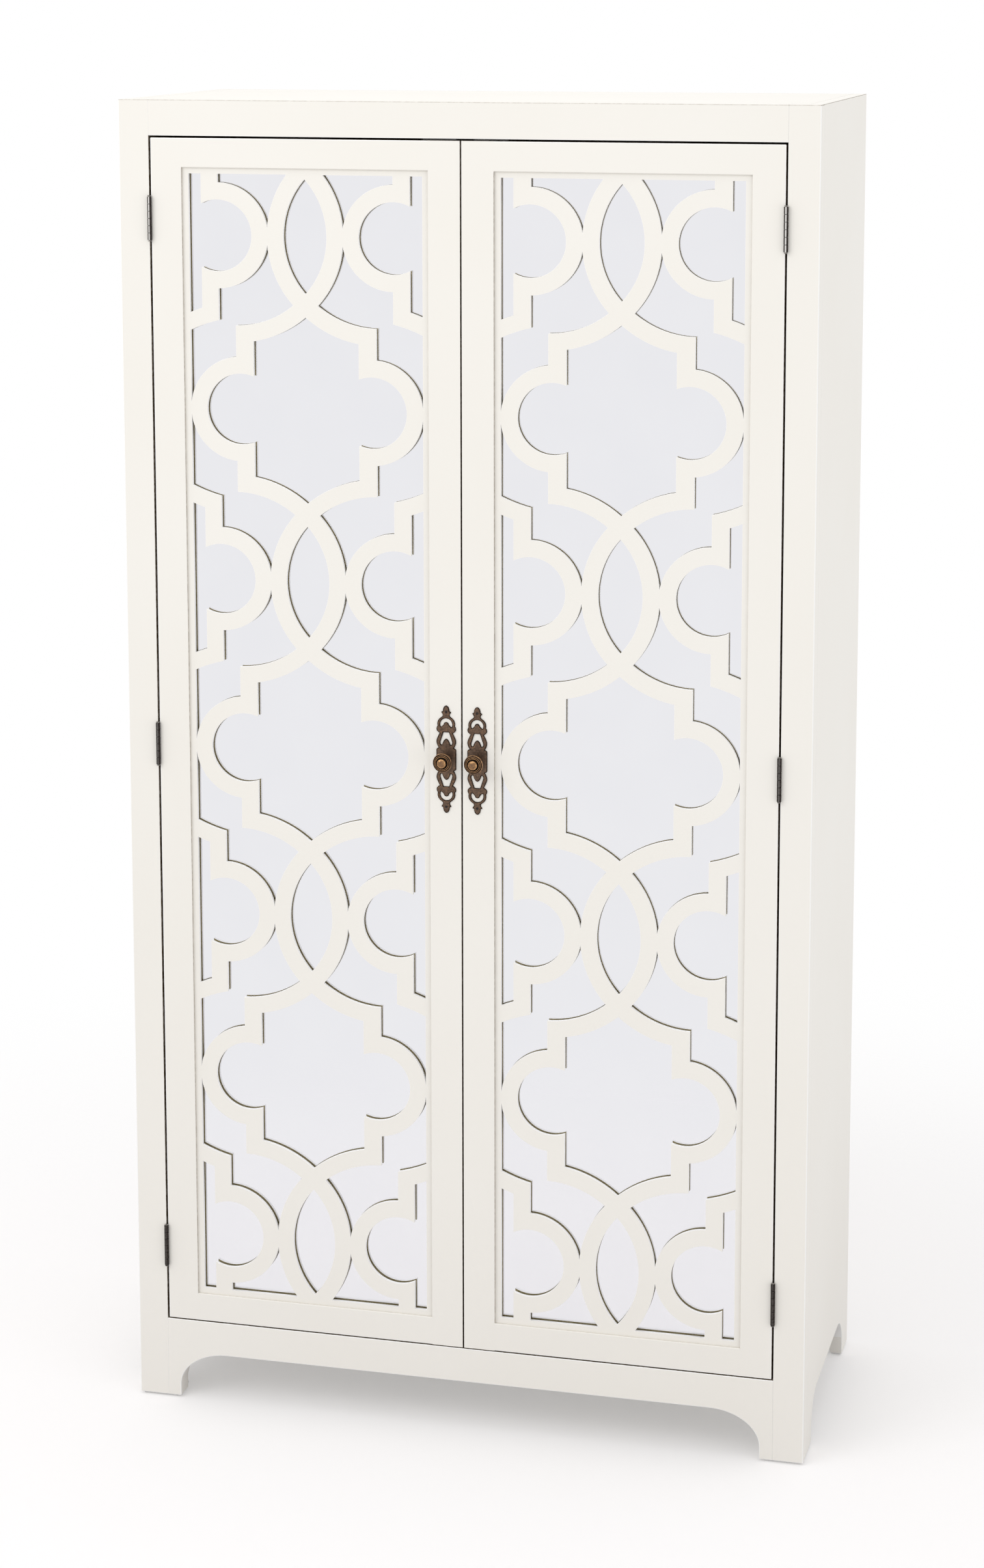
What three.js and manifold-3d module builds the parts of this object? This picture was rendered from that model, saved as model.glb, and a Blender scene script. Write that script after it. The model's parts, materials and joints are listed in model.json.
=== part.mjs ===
// Painted armoire: a face-framed case on arched feet, with two inset doors that swing on butt
// hinges. Each door holds a mirror behind a pierced fretwork panel, and carries a pierced brass
// backplate with a turned knob. Millimetres, +Z up, doors facing -Y, origin on the floor under
// the middle of the bounding box.

import * as THREE from 'three';
import { mergeVertices } from 'three/addons/utils/BufferGeometryUtils.js';
import Module from 'manifold-3d';

const wasm = await Module();
wasm.setup();

// ---------------------------------------------------------------- driving dimensions

// Case. Depths are counted back from the front face of the face frame.
const WIDTH = 948;
const HEIGHT = 1829;
const CASE_DEPTH = 420;
const FLOOR_CLEARANCE = 3;
const SEAM = 0.3;
const PAST = 1; // how far a cutter reaches past the face that it opens
const BOARD = 18;
const FACE_DEPTH = 30;
const FACE_STILE = 42;
const TOP_RAIL = 48;
const APRON_TOP = 117;

// Arches cut under the apron and the sides: straight feet, then a quarter ellipse to a flat top.
const ARCH_SPRING = 20;
const APRON_ARCH = { foot: 60.5, top: 68.5, corner: 68.5 };
const SIDE_ARCH = { frontFoot: 70, rearFoot: 53, top: 66, corner: 50 };

// Inside of the case.
const HOUSING = 6;
const SHELF_COUNT = 3;
const SHELF_SETBACK = 45;
const BACK_THICKNESS = 6;
const BACK_RECESS = 4;
const BACK_RAIL_BOTTOM = 62;
const GLIDE = { thickness: 2.7, inset: 4, frontWidth: 50, frontDepth: 46, rearWidth: 14, rearDepth: 44 };

// Doors.
const DOOR = { inner: 1.1, outer: 429.4, bottom: 118.5, top: 1778.5, depth: 22 };
const DOOR_STILE = 43.4;
const DOOR_RAIL = 39.5;
const REBATE = 8.3;
const LIP = 3.2;
const FRET_THICKNESS = 5;
const MIRROR_THICKNESS = 4;
const BACKING_THICKNESS = 6;

// Fretwork, drawn about the middle of the panel: quatrefoils stacked at one pitch, pointed
// lenses between them, and the side lobes of half-hidden quatrefoils at the edges.
const BAND = 23;
const FRET = { halfWidth: 162, halfHeight: 782.5, pitch: 466.8 };
const LENS = { offset: 82.5, radius: 112.5 };
const OGEE = { x: 98.5, z: 243, radius: 130 };
const LOBE = { x: 91.5, z: 0, radius: 48 };
const SIDE_LOBE = { x: 122.5, z: FRET.pitch / 2, radius: 48 };
const FOOT = { x: 77, z: -75.5, radius: 200 };
const FOOT_BAND = 22;
const POST = { inner: 73.5, outer: 98 };
const SIDE_POST = { inner: 121.5, outer: 145 };

// Handles.
const HANDLE_X = 21.5;
const HANDLE_Z = 950;
const PLATE_THICKNESS = 1.6;
const PLATE_SEAM = 0.2;
const KNOB_LENGTH = 28;
const SCREW = { radius: 2, hole: 2.5, bore: 2.3, boreDepth: 12, reach: 10 };
const SCREW_HEAD = { radius: 4.2, crown: 2.9, rim: 1.2, length: 2.4 };

// Hinges.
const HINGE_HEIGHTS = { upper: 1670.5, middle: 949, lower: 226 };
const HINGE_X = 430.7;
const KNUCKLE = { count: 6, length: 9.75, radius: 3, bore: 1.75, proud: 3.2 };
const LEAF = { near: 0.25, far: 1, start: 3.4, width: 18, webStart: 2.2, webEnd: 3.6 };
const PIN = { radius: 1.5, head: 2.6, crown: 1.6, rim: 0.5, headLength: 1.4 };

// Magnetic catches under the top rail, and their strikes on the backs of the doors.
const CATCH = { near: 12, far: 58, height: 14, depth: 16, air: 0.5 };
const STRIKE = { near: 22, far: 48, drop: 1, height: 12, thickness: 1.2 };

const ARC_STEP = THREE.MathUtils.degToRad(12);
const ROUND_STEPS = 10;
const KNOB_STEPS = 20;

// Sizes that follow from the ones above.
const handleReach = PLATE_SEAM + PLATE_THICKNESS + PLATE_SEAM + KNOB_LENGTH;
const frontFace = handleReach - (CASE_DEPTH + handleReach) / 2;
const insideX = WIDTH / 2 - BOARD;
const stileEdge = WIDTH / 2 - FACE_STILE;
const backFace = CASE_DEPTH - BACK_RECESS - BACK_THICKNESS;
const topPanelBottom = HEIGHT - BOARD;
const doorWidth = DOOR.outer - DOOR.inner;
const doorHeight = DOOR.top - DOOR.bottom;
const doorX = (DOOR.outer + DOOR.inner) / 2;
const doorZ = (DOOR.top + DOOR.bottom) / 2;
const openingX = doorWidth / 2 - DOOR_STILE;
const openingZ = doorHeight / 2 - DOOR_RAIL;

// ---------------------------------------------------------------- finishes

const finish = (color, roughness, metalness) =>
  new THREE.MeshStandardMaterial({ color, roughness, metalness });
const paint = finish('#efece4', 0.5, 0);
const mirrorGlass = finish('#e6e7ee', 0.04, 1);
const hardboard = finish('#9a7b56', 0.8, 0);
const nylon = finish('#f4f4f2', 0.6, 0);
const antiqueBrass = finish('#6f5a46', 0.4, 1);
const darkSteel = finish('#55524d', 0.45, 1);
const brightSteel = finish('#b9bbbd', 0.35, 1);

// ---------------------------------------------------------------- making and cutting solids

const armoire = new THREE.Group();
armoire.position.y = frontFace;

function part(group, name, geometry, material, position = [0, 0, 0]) {
  const mesh = new THREE.Mesh(geometry, material);
  mesh.name = name;
  mesh.position.set(...position);
  group.add(mesh);
  return mesh;
}

// A rectangular board between two opposite corners, given in any order.
function board(cornerA, cornerB) {
  const size = cornerA.map((value, axis) => Math.abs(cornerB[axis] - value));
  const middle = cornerA.map((value, axis) => (cornerB[axis] + value) / 2);
  const geometry = new THREE.BoxGeometry(...size);
  geometry.translate(...middle);
  return geometry;
}

// An outline drawn from the front in x and z, as thick as from near to far in y.
function frontBoard(outline, near, far) {
  const geometry = new THREE.ExtrudeGeometry(outline, { depth: far - near, bevelEnabled: false });
  geometry.rotateX(Math.PI / 2);
  geometry.translate(0, far, 0);
  return geometry;
}

// An outline drawn from the side in y and z, as thick as from left to right in x.
function sideBoard(outline, left, right) {
  const geometry = new THREE.ExtrudeGeometry(outline, { depth: right - left, bevelEnabled: false });
  const yAxis = new THREE.Vector3(0, 1, 0);
  const zAxis = new THREE.Vector3(0, 0, 1);
  const xAxis = new THREE.Vector3(1, 0, 0);
  geometry.applyMatrix4(new THREE.Matrix4().makeBasis(yAxis, zAxis, xAxis));
  geometry.translate(left, 0, 0);
  return geometry;
}

// A profile of [radius, height] pairs turned about the vertical axis.
function turned(profile, steps = ROUND_STEPS) {
  const points = profile.map(([radius, height]) => new THREE.Vector2(radius, height));
  const geometry = new THREE.LatheGeometry(points, steps);
  geometry.rotateX(Math.PI / 2);
  return geometry;
}

// The same, with its height counted forwards, towards -Y.
function turnedForwards(profile, steps) {
  const geometry = turned(profile, steps);
  geometry.rotateX(Math.PI / 2);
  return geometry;
}

function solid(geometry) {
  const bare = geometry.clone();
  bare.deleteAttribute('normal');
  bare.deleteAttribute('uv');
  const merged = mergeVertices(bare);
  const vertProperties = merged.attributes.position.array;
  const triVerts = new Uint32Array(merged.index.array);
  return new wasm.Manifold(new wasm.Mesh({ numProp: 3, vertProperties, triVerts }));
}

function surface(manifold) {
  const mesh = manifold.getMesh();
  const geometry = new THREE.BufferGeometry();
  geometry.setAttribute('position', new THREE.BufferAttribute(mesh.vertProperties, 3));
  geometry.setIndex(new THREE.BufferAttribute(mesh.triVerts, 1));
  geometry.computeVertexNormals();
  return geometry;
}

function cut(geometry, ...cutters) {
  return surface(cutters.reduce((rest, cutter) => rest.subtract(solid(cutter)), solid(geometry)));
}

function join(...geometries) {
  return surface(geometries.map(solid).reduce((whole, piece) => whole.add(piece)));
}

// ---------------------------------------------------------------- case

// A board that stands on two feet, with an arch between them.
function archedOutline(start, end, top, footStart, footEnd, arch) {
  const rise = arch.top - ARCH_SPRING;
  const outline = new THREE.Shape();
  outline.moveTo(start, FLOOR_CLEARANCE);
  outline.lineTo(footStart, FLOOR_CLEARANCE);
  outline.lineTo(footStart, ARCH_SPRING);
  outline.absellipse(footStart + arch.corner, ARCH_SPRING, arch.corner, rise, Math.PI, Math.PI / 2, true);
  outline.absellipse(footEnd - arch.corner, ARCH_SPRING, arch.corner, rise, Math.PI / 2, 0, true);
  outline.lineTo(footEnd, FLOOR_CLEARANCE);
  outline.lineTo(end, FLOOR_CLEARANCE);
  outline.lineTo(end, top);
  outline.lineTo(start, top);
  outline.closePath();
  return outline;
}

function shelfBottoms() {
  const clear = (topPanelBottom - APRON_TOP - SHELF_COUNT * BOARD) / (SHELF_COUNT + 1);
  return Array.from({ length: SHELF_COUNT }, (_, i) => APRON_TOP + clear + i * (clear + BOARD));
}

// The sides are grooved on the inside for the bottom panel and the shelves.
function sidePanel(side) {
  const { frontFoot, rearFoot } = SIDE_ARCH;
  const outline = archedOutline(FACE_DEPTH + SEAM, CASE_DEPTH, HEIGHT, frontFoot,
    CASE_DEPTH - rearFoot, SIDE_ARCH);
  const panel = side > 0 ? sideBoard(outline, insideX, WIDTH / 2) : sideBoard(outline, -WIDTH / 2, -insideX);
  const grooves = [APRON_TOP - BOARD, ...shelfBottoms()].map((bottom) => board(
    [side * (insideX - PAST), FACE_DEPTH, bottom - SEAM],
    [side * (insideX + HOUSING), backFace, bottom + BOARD + SEAM]));
  return cut(panel, ...grooves);
}

function buildCase() {
  const housed = insideX + HOUSING - SEAM;
  const between = insideX - SEAM;
  const behindFace = FACE_DEPTH + SEAM;
  for (const [side, hand] of [[-1, 'left'], [1, 'right']]) {
    part(armoire, `${hand}_side_panel`, sidePanel(side), paint);
    part(armoire, `${hand}_face_stile`, board([side * stileEdge, 0, FLOOR_CLEARANCE],
      [side * WIDTH / 2, FACE_DEPTH, HEIGHT]), paint);
  }
  const railEnd = stileEdge - SEAM;
  part(armoire, 'top_rail', board([-railEnd, 0, HEIGHT - TOP_RAIL], [railEnd, FACE_DEPTH, HEIGHT]), paint);
  const footEnd = WIDTH / 2 - APRON_ARCH.foot;
  const apron = archedOutline(-railEnd, railEnd, APRON_TOP, -footEnd, footEnd, APRON_ARCH);
  part(armoire, 'front_apron', frontBoard(apron, 0, FACE_DEPTH), paint);
  const topPanel = board([-between, behindFace, topPanelBottom], [between, CASE_DEPTH, HEIGHT]);
  part(armoire, 'top_panel', topPanel, paint);
  part(armoire, 'bottom_panel', board([-housed, behindFace, APRON_TOP - BOARD],
    [housed, backFace - SEAM, APRON_TOP]), paint);
  part(armoire, 'back_panel', board([-between, backFace, BACK_RAIL_BOTTOM],
    [between, backFace + BACK_THICKNESS, topPanelBottom - SEAM]), paint);
  part(armoire, 'back_rail', board([-between, backFace - SEAM - BOARD, BACK_RAIL_BOTTOM],
    [between, backFace - SEAM, APRON_TOP - BOARD - SEAM]), paint);
  shelfBottoms().forEach((bottom, i) => {
    const name = `${['lower', 'middle', 'upper'][i]}_shelf`;
    const shelf = board([-housed, SHELF_SETBACK, bottom], [housed, backFace - SEAM, bottom + BOARD]);
    part(armoire, name, shelf, paint);
  });
}

function buildGlides() {
  const { thickness, inset, frontWidth, frontDepth, rearWidth, rearDepth } = GLIDE;
  for (const [side, hand] of [[-1, 'left'], [1, 'right']]) {
    const outer = WIDTH / 2 - inset;
    part(armoire, `front_${hand}_glide`, board([side * outer, inset, 0],
      [side * (outer - frontWidth), inset + frontDepth, thickness]), nylon);
    const rearOuter = WIDTH / 2 - inset / 2;
    part(armoire, `rear_${hand}_glide`, board([side * rearOuter, CASE_DEPTH - inset, 0],
      [side * (rearOuter - rearWidth), CASE_DEPTH - inset - rearDepth, thickness]), nylon);
  }
}

// ---------------------------------------------------------------- fretwork outlines

const point = (x, z) => new THREE.Vector2(x, z);
const grown = (circle, by) => ({ ...circle, radius: circle.radius + by });

// Height on a circle above (+1) or below (-1) its centre, at a given x.
const heightOn = (circle, x, way) =>
  circle.z + way * Math.sqrt(circle.radius ** 2 - (x - circle.x) ** 2);

// Where two circles cross: of the two points, the lower one.
function lowerCrossing(a, b) {
  const apart = Math.hypot(b.x - a.x, b.z - a.z);
  const along = (apart ** 2 + a.radius ** 2 - b.radius ** 2) / (2 * apart);
  const aside = Math.sqrt(a.radius ** 2 - along ** 2);
  const unit = point((b.x - a.x) / apart, (b.z - a.z) / apart);
  const ends = [1, -1].map((way) => point(
    a.x + along * unit.x + way * aside * unit.y,
    a.z + along * unit.y - way * aside * unit.x));
  return ends[0].y < ends[1].y ? ends[0] : ends[1];
}

// Points along the shorter arc of a circle from one point to another, without the last point.
function arcPoints(circle, from, to) {
  const start = Math.atan2(from.y - circle.z, from.x - circle.x);
  let turn = Math.atan2(to.y - circle.z, to.x - circle.x) - start;
  turn -= 2 * Math.PI * Math.round(turn / (2 * Math.PI));
  const steps = Math.max(2, Math.ceil(Math.abs(turn) / ARC_STEP));
  return Array.from({ length: steps }, (_, i) => {
    const angle = start + (turn * i) / steps;
    return point(circle.x + circle.radius * Math.cos(angle), circle.z + circle.radius * Math.sin(angle));
  });
}

const flip = (points, byX, byZ, shiftZ = 0) => points.map((p) => point(byX * p.x, byZ * p.y + shiftZ));
const shift = (points, z) => flip(points, 1, 1, z);

// Pointed lens between two arcs.
function lensOutline() {
  const tip = Math.sqrt(LENS.radius ** 2 - LENS.offset ** 2);
  const rightArc = arcPoints({ x: -LENS.offset, z: 0, radius: LENS.radius }, point(0, -tip), point(0, tip));
  return [...rightArc, ...flip(rightArc, -1, -1)];
}

// Quatrefoil: ogee points above and below, a round lobe at each side, short posts between.
function quatrefoilOutline() {
  const upper = grown(OGEE, BAND);
  const tip = point(0, heightOn(upper, 0, -1));
  const step = point(POST.inner, heightOn(upper, POST.inner, -1));
  const lobeTop = point(POST.inner, heightOn(LOBE, POST.inner, 1));
  const lobeEnd = point(LOBE.x + LOBE.radius, 0);
  const upperRight = [...arcPoints(LOBE, lobeEnd, lobeTop), lobeTop, ...arcPoints(upper, step, tip), tip];
  const right = [...flip(upperRight, 1, -1).reverse(), ...upperRight.slice(1)];
  return [...right, ...flip(right.slice(1, -1), -1, -1)];
}

// Space outside the quatrefoil in one quarter of a repeat, bounded by the lens and both lobes.
function cornerOutline() {
  const lensOuter = { x: -LENS.offset, z: FRET.pitch / 2, radius: LENS.radius + BAND };
  const sideOuter = grown(SIDE_LOBE, BAND);
  const lobeOuter = grown(LOBE, BAND);
  const top = lowerCrossing(lensOuter, sideOuter);
  const left = lowerCrossing(lensOuter, OGEE);
  const step = point(POST.outer, heightOn(OGEE, POST.outer, -1));
  const lobeStart = point(POST.outer, heightOn(lobeOuter, POST.outer, 1));
  const lobeEnd = point(FRET.halfWidth, heightOn(lobeOuter, FRET.halfWidth, 1));
  const footEdge = point(FRET.halfWidth, heightOn(FOOT, FRET.halfWidth, 1));
  const footPost = point(SIDE_POST.inner, heightOn(FOOT, SIDE_POST.inner, 1));
  const sideStart = point(SIDE_POST.inner, heightOn(sideOuter, SIDE_POST.inner, -1));
  return [...arcPoints(lensOuter, top, left), ...arcPoints(OGEE, left, step), step,
    ...arcPoints(lobeOuter, lobeStart, lobeEnd), lobeEnd,
    ...arcPoints(FOOT, footEdge, footPost), footPost, ...arcPoints(sideOuter, sideStart, top)];
}

// Space inside a half-hidden quatrefoil at the edge, about the height of a lens.
function sideOutline() {
  const foot = grown(FOOT, FOOT_BAND);
  const edge = point(FRET.halfWidth, heightOn(foot, FRET.halfWidth, 1));
  const post = point(SIDE_POST.outer, heightOn(foot, SIDE_POST.outer, 1));
  const lobeStart = point(SIDE_POST.outer, heightOn(SIDE_LOBE, SIDE_POST.outer, -1));
  const lobeEnd = point(SIDE_LOBE.x - SIDE_LOBE.radius, SIDE_LOBE.z);
  const lower = [...arcPoints(foot, edge, post), post, ...arcPoints(SIDE_LOBE, lobeStart, lobeEnd), lobeEnd];
  const aboutLens = shift(lower, -SIDE_LOBE.z);
  return [...aboutLens, ...flip(aboutLens.slice(0, -1), 1, -1).reverse()];
}

// Every opening of one panel, each a closed outline about the middle of the panel.
function fretOpenings() {
  const openings = [];
  const corner = cornerOutline();
  for (const cell of [-1, 0, 1]) {
    openings.push(shift(quatrefoilOutline(), cell * FRET.pitch));
  }
  for (const between of [-1.5, -0.5, 0.5, 1.5]) {
    openings.push(shift(lensOutline(), between * FRET.pitch));
    for (const side of [-1, 1]) {
      openings.push(flip(sideOutline(), side, 1, between * FRET.pitch));
      openings.push(flip(corner, side, 1, (between - 0.5) * FRET.pitch));
      openings.push(flip(corner, side, -1, (between + 0.5) * FRET.pitch));
    }
  }
  return openings.map((points) => new THREE.Shape(points));
}

function fretworkPanel() {
  const near = LIP + SEAM;
  const far = near + FRET_THICKNESS;
  const overlap = REBATE - SEAM;
  const x = openingX + overlap;
  const z = openingZ + overlap;
  const slab = board([-x, near, -z], [x, far, z]);
  const frame = board([-FRET.halfWidth, near - PAST, -FRET.halfHeight],
    [FRET.halfWidth, far + PAST, FRET.halfHeight]);
  const openings = solid(frontBoard(fretOpenings(), near - PAST, far + PAST)).intersect(solid(frame));
  return surface(solid(slab).subtract(openings));
}

// ---------------------------------------------------------------- handles

// Half of the backplate's outline, from the middle of its right edge up to its tip.
function plateHalf() {
  const half = new THREE.Path();
  half.moveTo(13.8, 0);
  half.lineTo(13.8, 13.2);
  half.lineTo(12.8, 14.8);
  half.lineTo(10.6, 15.8);
  half.quadraticCurveTo(15.2, 23, 13, 28);
  half.quadraticCurveTo(11.5, 32, 9.2, 36);
  half.quadraticCurveTo(13.6, 38.5, 13.6, 41.5);
  half.quadraticCurveTo(13.4, 44.5, 12, 45.6);
  half.quadraticCurveTo(14, 54, 5.4, 58.8);
  half.quadraticCurveTo(4.4, 60.5, 5, 62);
  half.lineTo(7, 65);
  half.lineTo(4.6, 66.2);
  half.quadraticCurveTo(4.4, 73, 0, 74);
  return half.getPoints(2);
}

// Crescent opening round a rounded tongue.
function crescentOpening() {
  const opening = new THREE.Shape();
  opening.absarc(0, 48, 8.4, THREE.MathUtils.degToRad(-22), THREE.MathUtils.degToRad(202), false);
  opening.quadraticCurveTo(-6.4, 44.2, -4.6, 47);
  opening.absarc(0, 47.6, 3.6, Math.PI, 0, true);
  opening.quadraticCurveTo(6.4, 44.2, 7.79, 44.85);
  return opening;
}

// Tapered opening round a pointed tongue.
function taperedOpening() {
  const opening = new THREE.Shape();
  opening.moveTo(3.8, 37.2);
  opening.lineTo(-3.8, 37.2);
  opening.lineTo(-8.2, 24);
  opening.quadraticCurveTo(-8.6, 19.6, -5.8, 20);
  opening.quadraticCurveTo(-3.4, 28, 0, 28.4);
  opening.quadraticCurveTo(3.4, 28, 5.8, 20);
  opening.quadraticCurveTo(8.6, 19.6, 8.2, 24);
  opening.closePath();
  return opening;
}

function backplate() {
  const quarter = plateHalf();
  const right = [...flip(quarter, 1, -1).reverse(), ...quarter.slice(1)];
  const outline = new THREE.Shape([...right, ...flip(right.slice(1, -1), -1, -1)]);
  const near = -PLATE_SEAM - PLATE_THICKNESS;
  const plate = frontBoard(outline, near, -PLATE_SEAM);
  const cutters = [crescentOpening(), taperedOpening()].flatMap((opening) => {
    const points = opening.getPoints(4);
    return [1, -1].map((way) => new THREE.Shape(flip(points, 1, way)));
  });
  const through = PAST - near;
  const drill = turnedForwards([[0, -PAST], [SCREW.hole, -PAST], [SCREW.hole, through], [0, through]]);
  return cut(plate, frontBoard(cutters, near - PAST, PAST), drill);
}

// Turned knob, bored from behind for its screw: heights count forwards from the backplate.
function knob() {
  return turnedForwards([
    [0, SCREW.boreDepth], [SCREW.bore, SCREW.boreDepth], [SCREW.bore, 0], [6.6, 0], [6.8, 1.4],
    [4.6, 3.4], [4.3, 10], [6.2, 14.4], [11, 17.2], [13, 19.6], [12.8, 21.6], [10.6, 22.8],
    [8.6, 23.8], [6.4, 24.2], [6, 26.4], [3.8, 27.6], [0, KNOB_LENGTH]], KNOB_STEPS);
}

function knobScrew() {
  const head = SCREW_HEAD;
  const length = DOOR.depth + handleReach - KNOB_LENGTH + SCREW.reach + SEAM;
  return turnedForwards([[0, -head.length], [head.crown, -head.length], [head.radius, -head.rim],
    [head.radius, 0], [SCREW.radius, 0], [SCREW.radius, length], [0, length]]);
}

// ---------------------------------------------------------------- doors

// One door, drawn about its own middle. The hinge side is at side * x.
function buildDoor(side, hand) {
  const door = new THREE.Group();
  door.position.set(side * doorX, 0, doorZ);
  armoire.add(door);
  const add = (name, geometry, material, position) =>
    part(door, `${hand}_door_${name}`, geometry, material, position);

  const halfX = doorWidth / 2;
  const halfZ = doorHeight / 2;
  const rebate = board([-openingX - REBATE, LIP, -openingZ - REBATE],
    [openingX + REBATE, DOOR.depth + PAST, openingZ + REBATE]);
  const handleX = side * (HANDLE_X - doorX);
  const handleZ = HANDLE_Z - doorZ;
  const behind = -DOOR.depth - PAST;
  const screwHole = turnedForwards([[0, behind], [SCREW.hole, behind], [SCREW.hole, PAST], [0, PAST]]);
  screwHole.translate(handleX, 0, handleZ);

  const stile = (edge) => board([edge * halfX, 0, -halfZ], [edge * openingX, DOOR.depth, halfZ]);
  add('hinge_stile', cut(stile(side), rebate), paint);
  add('meeting_stile', cut(stile(-side), rebate, screwHole), paint);
  for (const [way, name] of [[1, 'top_rail'], [-1, 'bottom_rail']]) {
    const rail = board([SEAM - openingX, 0, way * halfZ], [openingX - SEAM, DOOR.depth, way * openingZ]);
    add(name, cut(rail, rebate), paint);
  }

  const overlap = REBATE - SEAM;
  const pane = (near, thickness) => board([-openingX - overlap, near, -openingZ - overlap],
    [openingX + overlap, near + thickness, openingZ + overlap]);
  const mirrorFront = LIP + SEAM + FRET_THICKNESS + SEAM;
  const backingFront = mirrorFront + MIRROR_THICKNESS + SEAM;
  add('fretwork', fretworkPanel(), paint);
  add('mirror', pane(mirrorFront, MIRROR_THICKNESS), mirrorGlass);
  add('backing_board', pane(backingFront, BACKING_THICKNESS), hardboard);

  add('backplate', backplate(), antiqueBrass, [handleX, 0, handleZ]);
  add('knob', knob(), antiqueBrass, [handleX, KNOB_LENGTH - handleReach, handleZ]);
  add('knob_screw', knobScrew(), brightSteel, [handleX, DOOR.depth + SEAM, handleZ]);

  const strikeTop = halfZ - STRIKE.drop;
  const strikeX = [STRIKE.near, STRIKE.far].map((x) => side * (x - doorX));
  add('strike_plate', board([strikeX[0], DOOR.depth + SEAM, strikeTop],
    [strikeX[1], DOOR.depth + SEAM + STRIKE.thickness, strikeTop - STRIKE.height]), brightSteel);
}

function buildCatch(side, hand) {
  const near = DOOR.depth + SEAM + STRIKE.thickness + CATCH.air;
  const top = HEIGHT - TOP_RAIL - SEAM;
  part(armoire, `${hand}_catch`, board([side * CATCH.near, near, top],
    [side * CATCH.far, near + CATCH.depth, top - CATCH.height]), nylon);
}

// ---------------------------------------------------------------- hinges

// One leaf of a hinge, on the +x or -x side of the pin, with every other knuckle.
function hingeLeaf(way, firstKnuckle) {
  const half = (KNUCKLE.count * KNUCKLE.length) / 2;
  const back = LEAF.start + LEAF.width;
  const pieces = [board([way * LEAF.near, LEAF.start, -half], [way * LEAF.far, back, half])];
  for (let i = firstKnuckle; i < KNUCKLE.count; i += 2) {
    const bottom = i * KNUCKLE.length - half + SEAM / 2;
    const top = bottom + KNUCKLE.length - SEAM;
    pieces.push(turned([[KNUCKLE.bore, bottom], [KNUCKLE.radius, bottom], [KNUCKLE.radius, top],
      [KNUCKLE.bore, top], [KNUCKLE.bore, bottom]]));
    pieces.push(board([way * LEAF.near, LEAF.webStart, bottom], [way * LEAF.far, LEAF.webEnd, top]));
  }
  return join(...pieces);
}

function hingePin() {
  const half = (KNUCKLE.count * KNUCKLE.length) / 2 + SEAM;
  const end = half + PIN.headLength;
  return turned([[0, -end], [PIN.crown, -end], [PIN.head, -half - PIN.rim], [PIN.head, -half],
    [PIN.radius, -half], [PIN.radius, half], [PIN.head, half], [PIN.head, half + PIN.rim],
    [PIN.crown, end], [0, end]]);
}

function buildHinge(side, hand, height) {
  const hinge = new THREE.Group();
  hinge.position.set(side * HINGE_X, -KNUCKLE.proud, HINGE_HEIGHTS[height]);
  armoire.add(hinge);
  const name = `${hand}_${height}_hinge`;
  part(hinge, `${name}_case_leaf`, hingeLeaf(side, 0), darkSteel);
  part(hinge, `${name}_door_leaf`, hingeLeaf(-side, 1), darkSteel);
  part(hinge, `${name}_pin`, hingePin(), darkSteel);
}

// ---------------------------------------------------------------- assembly

buildCase();
buildGlides();
for (const [side, hand] of [[-1, 'left'], [1, 'right']]) {
  buildDoor(side, hand);
  buildCatch(side, hand);
  for (const height of Object.keys(HINGE_HEIGHTS)) {
    buildHinge(side, hand, height);
  }
}

export default armoire;
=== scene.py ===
# %% [markdown]
# # A painted armoire with mirrored fretwork doors
# The cabinet is a face-framed case on arched feet. Two inset doors hang on butt hinges, and each
# one holds a mirror behind a pierced fretwork panel. The measured model of the carcass is loaded
# first, as a fixed frame. Everything made below takes its place from the boxes of those parts,
# so nothing has to be fitted afterwards.

# %% Load the fixed frame
import json
import math

import bmesh
import bpy
from mathutils import Matrix, Vector

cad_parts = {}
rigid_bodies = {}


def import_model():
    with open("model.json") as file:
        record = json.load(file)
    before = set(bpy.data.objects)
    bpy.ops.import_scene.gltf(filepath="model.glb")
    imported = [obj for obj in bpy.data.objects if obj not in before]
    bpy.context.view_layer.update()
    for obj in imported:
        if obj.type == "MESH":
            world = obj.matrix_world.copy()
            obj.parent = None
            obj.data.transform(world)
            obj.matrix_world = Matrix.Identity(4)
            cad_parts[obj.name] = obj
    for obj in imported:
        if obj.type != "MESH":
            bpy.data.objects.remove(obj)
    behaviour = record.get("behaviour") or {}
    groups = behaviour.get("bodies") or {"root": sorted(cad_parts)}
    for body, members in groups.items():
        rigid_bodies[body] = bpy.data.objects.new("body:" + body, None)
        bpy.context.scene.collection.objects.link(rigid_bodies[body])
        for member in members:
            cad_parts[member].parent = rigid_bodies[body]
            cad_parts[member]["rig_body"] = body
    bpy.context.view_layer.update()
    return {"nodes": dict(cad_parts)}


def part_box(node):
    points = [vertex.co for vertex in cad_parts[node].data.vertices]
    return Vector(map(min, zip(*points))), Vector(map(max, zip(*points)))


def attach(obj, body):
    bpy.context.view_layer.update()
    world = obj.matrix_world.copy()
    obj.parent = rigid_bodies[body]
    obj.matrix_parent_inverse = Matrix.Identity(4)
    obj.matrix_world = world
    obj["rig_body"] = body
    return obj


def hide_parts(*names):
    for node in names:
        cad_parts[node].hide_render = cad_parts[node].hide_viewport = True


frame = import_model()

nodes = frame["nodes"]
HANDS = {"left": -1, "right": 1}
DOORS = {hand: f"{hand}_door" for hand in HANDS}

# %% [markdown]
# ## Units and landmarks
# Blender works in metres and a cabinet maker in millimetres, so one factor is named here. The
# front face of the face frame is the plane that depths are counted back from.

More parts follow.
